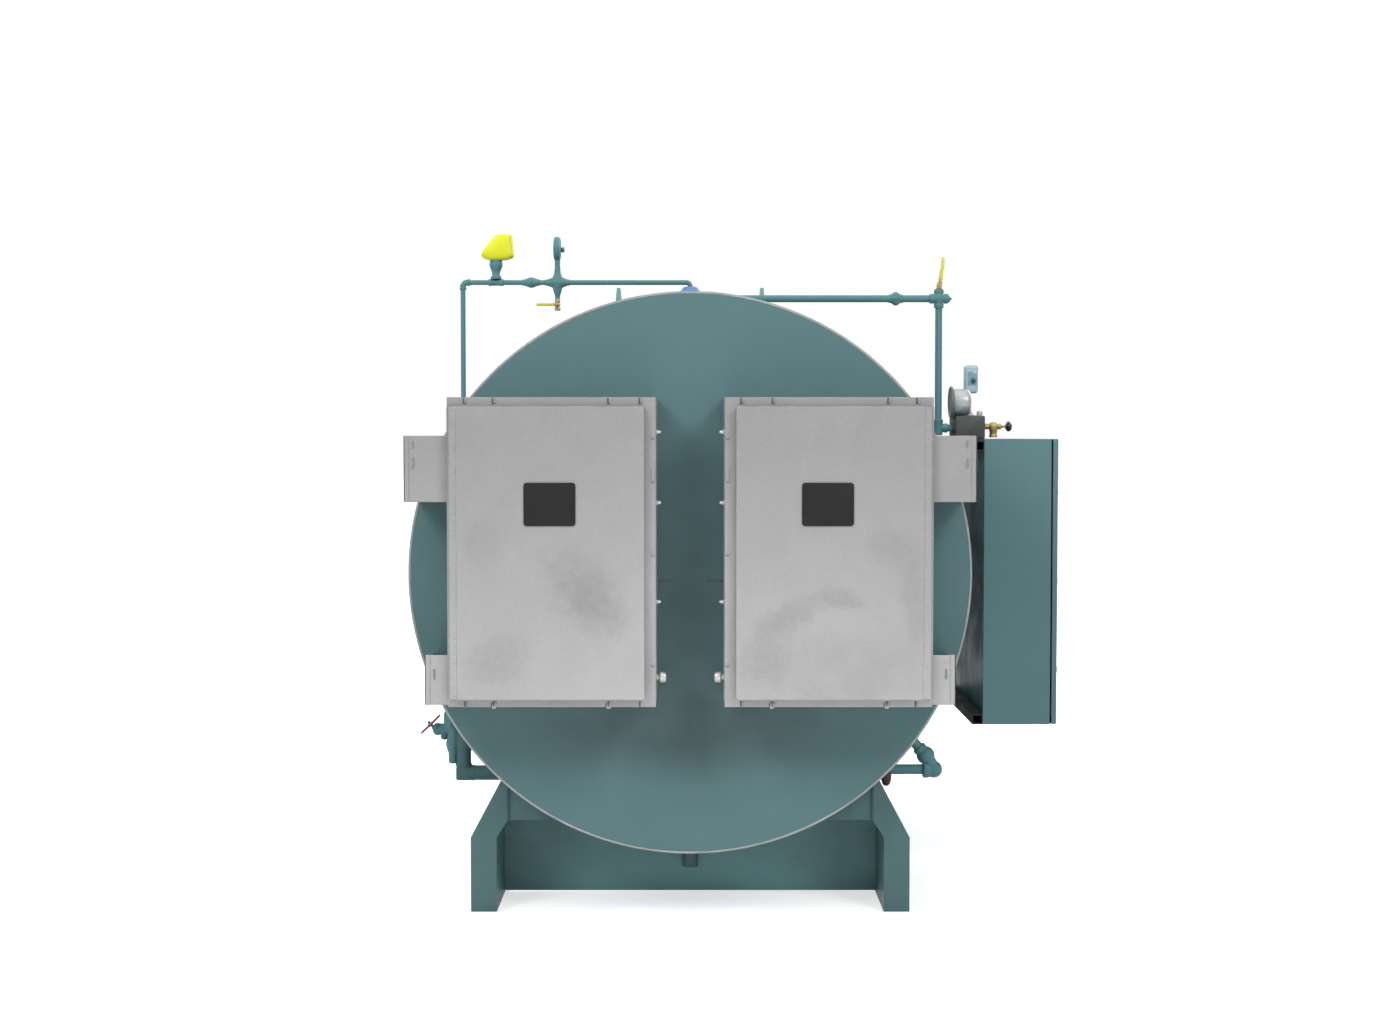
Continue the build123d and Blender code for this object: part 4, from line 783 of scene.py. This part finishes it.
turnedPiece(bm, [
    (0, 3), (44, 3), (46.5, 0.8), (50.5, 0), (52.8, 2), (52.8, 6), (51, 8.5), (43, 9.5)], dialMid, right, 40, 1)
turnedPiece(bm, [
    (42.8, 9), (44.5, 13), (44.5, 50), (43.2, 57.5), (39.2, 63.5), (33, 66.5), (22, 68), (0, 68.5)], dialMid, right, 40)
newPiece("gaugeCase", bm, [gaugeGrey, bezelGrey], "gauge_grey", "pressure_gauge")

# switch box with its window and knob, on a stem
switchMid = {"x": 0.9385, "y": -0.255, "low": 1.595, "high": 1.689, "half": 0.0225, "window": (1.622, 1.668),
             "knobZ": 1.637, "stemZ": 1.518}
bm = bmesh.new()
x, y, half = switchMid["x"], switchMid["y"], switchMid["half"]
windowLow, windowHigh = switchMid["window"]
blockPiece(bm, (x - half, y - 0.02, switchMid["low"]), (x + half, y + 0.022, switchMid["high"]), 0.009, 4)
blockPiece(bm, (x - 0.0125, y - 0.0218, windowLow), (x + 0.0165, y - 0.0185, windowHigh), 0.0014, 2, 1)
turnedPiece(bm, [
    (0, 0), (9.8, 0), (9.8, 3), (7.8, 5), (0, 5)], (x + 0.005, y - 0.0215, switchMid["knobZ"]), forward, 22, 2)
turnedPiece(bm, [
    (0, 5), (5.5, 5), (5, 9), (0, 10)], (x + 0.0055, y - 0.0215, switchMid["knobZ"] - 0.0005), forward, 16, 3)
turnedPiece(bm, [
    (0, 0), (10.5, 0), (10.5, 10), (8.5, 14), (8.5, 50), (9.5, 64), (10.5, 80), (0, 80)],
    (x - 0.013, y, switchMid["stemZ"]), up, 20)
newPiece("switchBox", bm, [paleBlue, windowBlue, pipeTeal, blackPlastic], "pale_blue_paint", "pressure_switch")

# petcock with its spout and black knob
cock = {"x": 0.970, "z": 1.484, "spoutX": 1.0, "knobX": 1.04}
bm = bmesh.new()
cockMid = (cock["x"], pipeY, cock["z"])
hexPiece(bm, 0.0112, 0.012, cockMid, right)
turnedPiece(bm, [
    (0, 10), (8.5, 10), (8.8, 16), (12.5, 20), (14.5, 27), (14.5, 33), (12, 41), (8.8, 45), (9.5, 48), (9.5, 54),
    (6, 56), (4.5, 60), (3.9, 62), (3.9, 82), (0, 82)], cockMid, right, 24)
turnedPiece(bm, [
    (0, -13.5), (10.5, -12.5), (14.2, -5), (14.6, 11), (12.5, 16), (11.8, 25), (13.2, 27), (13.2, 35.5), (6, 36),
    (0, 30)], (cock["spoutX"], pipeY, cock["z"]), down, 22)
newPiece("petcockBody", bm, agedBrass, "brass", "petcock")

bm = bmesh.new()
turnedPiece(bm, [
    (4.4, 0), (9, 0.5), (12.5, 3), (16.2, 6.5), (16.8, 10), (16.2, 13.5), (12.5, 17.5), (8.5, 20.2), (4.4, 20.5),
    (4.4, 0)], (cock["knobX"], pipeY, cock["z"]), right, 24)
newPiece("petcockGrip", bm, blackPlastic, "black_plastic", "petcock_knob", body="petcock_knob")
print("right pipework made")

# drain valve, its pipe and handwheel at the lower left
drain = {"y": -0.5, "runZ": 0.361, "riserX": -0.735, "valveX": -0.770, "valveZ": 0.456, "radius": 0.02419,
         "bend": 0.025, "shell": -0.486, "angle": 46, "hub": (-0.842, -0.5, 0.519), "bonnetZ": 0.503}
drainY, runZ, riserX, valveX = drain["y"], drain["runZ"], drain["riserX"], drain["valveX"]
valveZ, bonnetZ = drain["valveZ"], drain["bonnetZ"]
riserFoot, riserMid = (riserX, drainY, runZ), (riserX, drainY, valveZ)
stem = Vector((-math.cos(math.radians(drain["angle"])), 0, math.sin(math.radians(drain["angle"]))))
bm = bmesh.new()
pipeRun(bm, [(drain["shell"], drainY, runZ), riserFoot, (riserX, drainY, valveZ - 0.0255)],
        drain["radius"], drain["bend"])
blockPiece(bm, (riserX - 0.0235, drainY - 0.022, runZ - 0.0225), (riserX + 0.026, drainY + 0.022, runZ + 0.022),
           0.0065, 4)
turnedPiece(bm, [(18, 20), (26.2, 21), (26.2, 30), (23, 32)], riserFoot, up, 26)
turnedPiece(bm, [(18, 24), (25.6, 25), (25.6, 34), (23, 36)], riserFoot, right, 26)
newPiece("drainPipe", bm, drainTeal, "teal_paint", "drain_line")

bm = bmesh.new()
turnedPiece(bm, [(0, -25.5), (24, -25.5), (26.2, -20), (26.2, 28), (22.5, 42), (13, 49), (0, 51)], riserMid, up, 26, 1)
turnedPiece(bm, [(0, 0), (20.5, 0), (20.5, 20), (22.5, 24), (21.5, 34), (0, 35)], riserMid, left, 26, 1)
turnedPiece(bm, [
    (0, -64), (10.2, -64), (13.6, -59.5), (14.8, -28), (18.2, -21), (20.5, -12), (22.4, -4), (22.4, 6), (19.6, 14),
    (19, 46), (0, 47)], (valveX, drainY, valveZ), up, 26)
turnedPiece(bm, [
    (0, -6), (12.5, -6), (17.2, 0), (18.8, 6), (18.8, 46), (20.2, 49), (20.2, 57), (16.5, 64.5), (9, 68), (0, 68.5)],
    (valveX + 0.004, drainY, bonnetZ), left, 26)
turnedPiece(bm, [
    (0, 0), (18.5, 0), (19.2, 6), (19.2, 50), (16.5, 58), (11, 64), (0, 65)], (valveX - 0.01, drainY, bonnetZ), up, 26)
turnedPiece(bm, [(0, -30), (8.5, -30), (8.5, -14), (4.9, -12), (4.9, 12), (0, 12)], drain["hub"], stem, 18)
turnedPiece(bm, [
    (0, 0), (16.5, 0), (16.5, 6), (12.5, 11), (11.8, 20), (7, 26), (0, 27)],
    (valveX - 0.024, drainY, bonnetZ - 0.008), (-0.25, 0, -1), 22, 1)
newPiece("drainValveBody", bm, [pipeTeal, drainTeal], "teal_paint", "drain_valve")

wheel = {"radius": 0.044, "rim": 0.0034, "spokes": 5}
bm = bmesh.new()
rimMiddle = wheel["radius"] - wheel["rim"]
rimRing = [(rimMiddle + wheel["rim"] * math.cos(math.radians(a)), wheel["rim"] * math.sin(math.radians(a)))
           for a in range(0, 361, 45)]
turnedPiece(bm, rimRing, drain["hub"], stem, 40, unit=1)
turnedPiece(bm, [(5.5, -5), (10.5, -5), (11.8, -2), (11.8, 3), (9.8, 5), (5.5, 5), (5.5, -5)], drain["hub"], stem, 24)
for index in range(wheel["spokes"]):
    outward = Matrix.Rotation(2 * math.pi * index / wheel["spokes"], 3, stem) @ Vector((0, 1, 0))
    turnedPiece(bm, [(0, 10.5), (3.6, 10.5), (2.8, 20), (3, 36), (3.6, 38.5), (0, 38.5)], drain["hub"], outward, 10)
newPiece("drainHandwheel", bm, wheelRed, "red_paint", "handwheel", body="handwheel")

# feed loop at the lower right: two ball elbows with collars, and the plug below it
feed = {"stops": [(0.653, -0.5, 0.543), (0.7638, -0.5, 0.4178), (0.7905, -0.5, 0.372), (0.4905, -0.5, 0.372)],
        "radius": 0.0164, "bend": 0.02, "balls": (0.0296, 0.0275), "plugX": 0.636}
bm = bmesh.new()
root, knee, turn, end = (Vector(stop) for stop in feed["stops"])
pipeRun(bm, feed["stops"], feed["radius"], feed["bend"])
toKnee, toTurn, toEnd = (knee - root).normalized(), (turn - knee).normalized(), (end - turn).normalized()
ball = [(math.sin(math.radians(a)), -math.cos(math.radians(a))) for a in range(0, 181, 20)]
for corner, before, size in zip((knee, turn), (toKnee, toTurn), feed["balls"]):
    turnedPiece(bm, [(r * size, z * size) for r, z in ball], corner, before, 26, unit=1)
turnedPiece(bm, [(21.2, 19), (22.6, 25), (22.6, 33), (20.6, 35.8), (14, 36.2)], knee, -toKnee, 26)
turnedPiece(bm, [(22.5, 0), (22.5, 20), (22.5, 36), (20, 40)], knee, toTurn, 26)
turnedPiece(bm, [(26.2, -2), (26.2, 18), (27.6, 20), (27.6, 33), (25, 36), (14, 36.5)], turn, toEnd, 26)
newPiece("feedPipe", bm, pipeTeal, "teal_paint", "feed_loop")

bm = bmesh.new()
turnedPiece(bm, [
    (0, -54), (6, -53.5), (11.5, -49), (14.8, -40), (16.8, -30), (17.2, -12), (18.8, -10), (18.8, 4), (0, 5)],
    (feed["plugX"], end.y, end.z), up, 24)
newPiece("feedPlugCap", bm, plugBrown, "dark_iron", "feed_plug")
print("low pipework made")

# lock knobs and screw ends on the inner sides of the enclosures
knobs = {"x": 0.098, "y": -1.205, "lockZ": 0.761, "screwZ": (0.978, 1.262, 1.464), "washer": 0.0016}
bm = bmesh.new()
for s in (-1, 1):
    away = (-s, 0, 0)
    turnedPiece(bm, [
        (0, 0), (12, 0), (12, 2), (8, 3), (8, 8), (13.5, 9), (16, 12), (16, 24), (14, 28), (9, 29.8), (0, 30)],
        (s * knobs["x"], knobs["y"], knobs["lockZ"]), away, 24)
    for z in knobs["screwZ"]:
        turnedPiece(bm, [(0, 0), (8.5, 0), (8.5, 1.6), (4.5, 2), (4.5, 12), (3.5, 14), (0, 14)],
                    (s * knobs["x"], knobs["y"], z), away, 14)
        hexPiece(bm, 0.0068, 0.005, (s * (knobs["x"] - knobs["washer"]), knobs["y"], z), away, 0.0006)
newPiece("lockKnobs", bm, platedSteel, "plated_steel", "side_knobs")

# folded sheet brackets beside the boxes; slots and crease are thin darker marks on their fronts that paint the shade of
# the openings and of the bend
filletSize = 0.01  # at the top of the upper sheet; the lower one has a square corner
fillet = [(filletSize * (1 - math.cos(a)), filletSize * (1 - math.sin(a)))
          for a in (0, math.pi / 6, math.pi / 3, math.pi / 2)]
brackets = {"front": -1.2475, "sheet": 0.003, "boxX": 0.689, "edge": 0.0006, "footX": 0.7705, "footInset": 0.03,
            "slotIn": 0.0275, "slotHalf": 0.0035, "crease": (0.016, 0.0148), "inset": 0.002,
            "upper": {"x": 0.8135, "z": (1.2655, 1.454), "rear": -0.916, "lift": 0, "fillet": fillet,
                      "slots": ((1.417, 0.024), (1.36, 0.032))},
            "lower": {"x": 0.7565, "z": (0.6865, 0.8295), "rear": -1.0, "lift": -0.021, "fillet": [(0, 0)],
                      "slots": ((0.7595, 0.03),)}}
front, sheet, boxX, edge = (brackets[key] for key in ("front", "sheet", "boxX", "edge"))
for side, s in sides:
    bm = bmesh.new()
    for level in ("upper", "lower"):
        tab = brackets[level]
        (zLow, zHigh), x, rear = tab["z"], tab["x"], tab["rear"]
        joint = [(boxX + dx, zHigh + dz) for dx, dz in tab["fillet"]]  # where the sheet's top meets the box
        corners = [(boxX, zLow)] + joint + [(x, zHigh), (x, zLow)]
        outlinePiece(bm, [(s * px, front, pz) for px, pz in corners], (0, sheet, 0), edge, 1)
        flange = [(front, zLow), (front, zHigh), (rear, zHigh + tab["lift"]), (rear, zLow)]
        outlinePiece(bm, [(s * (x - sheet), py, pz) for py, pz in flange], (s * sheet, 0, 0), edge, 1)
        if level == "upper":
            near, far = span(s, brackets["footX"], x)
            blockPiece(bm, (near, rear - sheet, zLow + brackets["footInset"]),
                       (far, rear, zHigh - brackets["footInset"]), edge, 1)
        slotX = s * (x - brackets["slotIn"])
        for slotZ, tall in tab["slots"]:
            blockPiece(bm, (slotX - brackets["slotHalf"], front - 0.0008, slotZ),
                       (slotX + brackets["slotHalf"], front + 0.001, slotZ + tall), edge, 1, 1)
        near, far = span(s, *(x - inward for inward in brackets["crease"]))
        blockPiece(bm, (near, front - 0.0006, zLow + brackets["inset"]),
                   (far, front + 0.001, zHigh - brackets["inset"]), edge / 2, 1, 1)
    newPiece(side + "BracketSheets", bm, [boxSheet, slotGrey], "galvanised_sheet", side + "_brackets")

# spring clips round the door openings, each with a thin dark strip beside it that paints the shadow line at its edge
clips = {"front": -1.25, "back": -1.249, "reach": 0.003, "edgeX": (0.144, 0.233, 0.560, 0.642),
         "hooked": (0.233, 0.560), "top": 1.563, "bottom": 0.681, "inner": (0.102, 0.11), "hookBack": -1.238,
         "side": ((0.802, 0.0045), (1.119, 0.0045), (1.450, 0.0045), (1.341, 0.018))}
bm = bmesh.new()
front, back, reach, top, bottom = (clips[key] for key in ("front", "back", "reach", "top", "bottom"))
for s in (-1, 1):
    for x in clips["edgeX"]:
        mid = s * x
        for low, high in ((top - 0.019, top - 0.0015), (bottom + 0.0015, bottom + 0.016)):
            blockPiece(bm, (mid - 0.0018, front - reach, low), (mid + 0.0018, back, high), 0.0005, 1, 1)
            blockPiece(bm, (mid + 0.0022, front - reach * 0.7, low + 0.001), (mid + 0.0085, back, high - 0.001),
                       0.0006, 1)
        if x in clips["hooked"]:
            blockPiece(bm, (mid - 0.006, front - reach, bottom - 0.0045),
                       (mid + 0.006, clips["hookBack"], bottom + 0.012), 0.0012)
            blockPiece(bm, (mid - 0.0085, front - reach * 0.6, bottom - 0.0035), (mid - 0.006, back, bottom + 0.011),
                       0.0005, 1, 1)
    near, far = span(s, *clips["inner"])
    for z, tall in clips["side"]:
        blockPiece(bm, (near, front - reach, z - tall), (far, back, z + tall), 0.0008)
        blockPiece(bm, (near, front - reach * 0.6, z - tall - 0.002), (far, back, z - tall), 0.0004, 1, 1)
newPiece("doorClips", bm, [boxSheet, clipShadowLine], "galvanised_sheet", "enclosure_clamps")

# thin tabs on the front cover beside the enclosures
tabs = {"x": (0.05, 0.0975), "z": (1.0205, 1.0245), "front": -1.0, "thick": 0.002}
for side, s in sides:
    bm = bmesh.new()
    near, far = span(s, *tabs["x"])
    blockPiece(bm, (near, tabs["front"] - tabs["thick"], tabs["z"][0]), (far, tabs["front"], tabs["z"][1]), 0.0007)
    newPiece(side + "CoverTab", bm, maroonTab, "rim_metal")

# lap seams and screws of the jacket
jacketLap = {"radius": 0.831, "axisZ": 1.043, "proud": 0.0016, "width": 0.038, "rings": (-0.21, 0.33), "half": 0.957,
             "slope": 20, "screws": 40, "head": 0.0042, "screwIn": 0.009, "longScrews": 17, "longFrom": -0.9,
             "longPitch": 0.1125, "corner": 0.0006, "ease": 0.0004}
bm = bmesh.new()
radius, axisZ = jacketLap["radius"], jacketLap["axisZ"]
top, half, long = radius + jacketLap["proud"], jacketLap["width"] / 2, jacketLap["half"]
slopes = [Matrix.Rotation(math.radians(turn), 3, "Y") for turn in (180 - jacketLap["slope"], jacketLap["slope"])]


def screwHead(x, y, z):
    return bmesh.ops.create_icosphere(bm, subdivisions=1, radius=jacketLap["head"],
                                      matrix=Matrix.Translation((x, y, z)))["verts"]


for slope in slopes:
    older = set(bm.verts)
    blockPiece(bm, (radius - 0.004, -long, axisZ - half), (top, long, axisZ + half), jacketLap["corner"], 1)
    fresh = [v for v in bm.verts if v not in older]
    bmesh.ops.rotate(bm, verts=fresh, cent=(0, 0, axisZ), matrix=slope)
inside, eased, flat = radius - 0.002, top - jacketLap["ease"], half - jacketLap["corner"]
lapProfile = [(inside, -half), (eased, -half), (top, -flat), (top, flat), (eased, half), (inside, half),
              (inside, -half)]
for ringY in jacketLap["rings"]:
    turnedPiece(bm, lapProfile, (0, ringY, axisZ), (0, 1, 0), 128, unit=1)
    for index in range(jacketLap["screws"]):
        angle = 2 * math.pi * (index + 0.5) / jacketLap["screws"]
        screwHead(top * math.cos(angle), ringY + jacketLap["screwIn"], axisZ + top * math.sin(angle))
for slope in slopes:
    for index in range(jacketLap["longScrews"]):
        along = jacketLap["longFrom"] + index * jacketLap["longPitch"]
        made = screwHead(top, along, axisZ + jacketLap["screwIn"])
        bmesh.ops.rotate(bm, verts=made, cent=(0, 0, axisZ), matrix=slope)
newPiece("jacketSeams", bm, tealPaint, "teal_paint")

# weld beads where the cradle plates meet the legs
weldBead = {"x": 0.5585, "y": 0.872, "low": 0.281, "count": 25, "radius": 0.0056, "ripple": 0.0006, "pitch": 0.0055}
bm = bmesh.new()
count, pitch = weldBead["count"], weldBead["pitch"]
bead = [(weldBead["radius"] + weldBead["ripple"] * (index % 2), index * pitch) for index in range(count)]
for s in (-1, 1):
    for y in (-weldBead["y"], weldBead["y"]):
        turnedPiece(bm, [(0, 0)] + bead + [(0, count * pitch)], (s * weldBead["x"], y, weldBead["low"]), up, 10, unit=1)
newPiece("saddleWelds", bm, baseTeal, "teal_paint")

# quarter-turn latches on the cabinet door, each with a dark block that paints the shade in its slot
latch = {"y": -0.512, "z": (0.70, 0.985, 1.27), "slotLong": 0.0082, "slotTall": 0.0016, "slotX": (0.006, 0.0074)}
bm = bmesh.new()
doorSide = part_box("cabinet_door")[1][0]
slotBack, slotFront = (doorSide + x for x in latch["slotX"])
for z in latch["z"]:
    turnedPiece(bm, [
        (0, -1), (17, -1), (17, 1.2), (15, 2.6), (11.8, 3), (11.8, 5.2), (10.2, 6.8), (0, 7)],
        (doorSide, latch["y"], z), right, 28)
    blockPiece(bm, (slotBack, latch["y"] - latch["slotLong"], z - latch["slotTall"]),
               (slotFront, latch["y"] + latch["slotLong"], z + latch["slotTall"]), 0.0005, 1, 1)
newPiece("cabinetLatches", bm, [platedSteel, blackPlastic], "plated_steel", body="cabinet_door")

# screws that hold the panel in the cabinet
panelScrew = {"inset": 0.03, "sunk": 0.0005}
bm = bmesh.new()
panelLow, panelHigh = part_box("cabinet_panel")
panelX = panelHigh[0]
for y in (panelLow[1] + panelScrew["inset"], panelHigh[1] - panelScrew["inset"]):
    for z in (panelLow[2] + panelScrew["inset"], panelHigh[2] - panelScrew["inset"]):
        hexPiece(bm, 0.0085, 0.0055, (panelX - panelScrew["sunk"], y, z), right, 0.0008)
        turnedPiece(bm, [(0, -0.5), (11.5, -0.5), (11.5, 1), (8.5, 1.2), (0, 1.2)], (panelX, y, z), right, 18)
newPiece("panelScrews", bm, platedSteel, "plated_steel")
print("small fittings made")


# one shader for light that falls on the part, another for what is seen straight, mirrored or through glass
def seenShader(tree, lighting, seen, target):
    path = tree.nodes.new("ShaderNodeLightPath").outputs
    sight = plus(tree, path["Is Camera Ray"], path["Is Glossy Ray"], True)
    choose = tree.nodes.new("ShaderNodeMixShader")
    wire(tree, plus(tree, sight, path["Is Transmission Ray"], True), choose.inputs[0])
    wire(tree, lighting, choose.inputs[1])
    wire(tree, seen, choose.inputs[2])
    wire(tree, choose.outputs[0], tree.nodes[target].inputs["Surface"])


# pale floor that glows towards white away from the shadow
floorLook = {"low": (226, 226, 226), "high": (234, 234, 234), "rough": 0.9, "grain": 6, "glowFrom": 1.2, "glowTo": 3.6,
             "glow": (0.62, 1.0), "half": 60, "below": 0.001}
floorMat, tree = newFinish("paleFloor")
shader = tree.nodes["Principled BSDF"]
grain = noise(tree, objectPlace(tree), floorLook["grain"], 4)
pale = blendColour(tree, "MIX", grain, shade(*floorLook["low"]), shade(*floorLook["high"]))
wire(tree, pale, shader.inputs["Base Color"])
wire(tree, floorLook["rough"], shader.inputs["Roughness"])
glow = tree.nodes.new("ShaderNodeEmission")
away = vectorMath(tree, "LENGTH", objectPlace(tree))["Value"]
wire(tree, spread(tree, away, floorLook["glowFrom"], floorLook["glowTo"], *floorLook["glow"]), glow.inputs["Strength"])
both = tree.nodes.new("ShaderNodeAddShader")
wire(tree, shader.outputs[0], both.inputs[0])
wire(tree, glow.outputs[0], both.inputs[1])
seenShader(tree, shader.outputs[0], both.outputs[0], "Material Output")
bm = bmesh.new()
bmesh.ops.create_grid(bm, x_segments=1, y_segments=1, size=floorLook["half"])
bmesh.ops.translate(bm, verts=bm.verts, vec=(0, 0, -floorLook["below"]))
mesh = bpy.data.meshes.new("floor")
bm.to_mesh(mesh)
bm.free()
mesh.materials.append(floorMat)
floor = bpy.data.objects.new("floor", mesh)
scene.collection.objects.link(floor)

# plain studio light: place, size and power of each lamp
studio = {"ambient": 0.12, "ambientColour": (0.97, 0.985, 1, 1), "white": (1, 1, 1, 1), "aimY": -0.6, "aimTop": 1.0,
          "lamps": [((-3.4, -5.2, 5.0), 2.4, 165), ((3.4, -5.2, 5.0), 2.4, 165), ((0, -0.8, 6.0), 4.0, 90),
                    ((0, -6.4, 0.9), 2.5, 16), ((-4.6, 4.2, 4.6), 2.6, 200), ((4.6, 4.2, 4.6), 2.6, 200),
                    ((0, -2.7, 0.12), 0.9, 4)]}
world = bpy.data.worlds.new("studio")
scene.world = world
world.use_nodes = True
tree = world.node_tree
dim, bright = tree.nodes["Background"], tree.nodes.new("ShaderNodeBackground")
for background, colour, strength in ((dim, studio["ambientColour"], studio["ambient"]), (bright, studio["white"], 1)):
    wire(tree, colour, background.inputs["Color"])
    wire(tree, strength, background.inputs["Strength"])
seenShader(tree, dim.outputs[0], bright.outputs[0], "World Output")
for index, (where, size, power) in enumerate(studio["lamps"]):
    lamp = bpy.data.lights.new("softLamp%d" % index, "AREA")
    lamp.size = size
    lamp.energy = power
    holder = bpy.data.objects.new("softLamp%d" % index, lamp)
    holder.location = where
    aim = Vector((0, studio["aimY"], min(where[2], studio["aimTop"]))) - Vector(where)
    holder.rotation_euler = aim.to_track_quat("-Z", "Y").to_euler()
    scene.collection.objects.link(holder)
print("studio set")
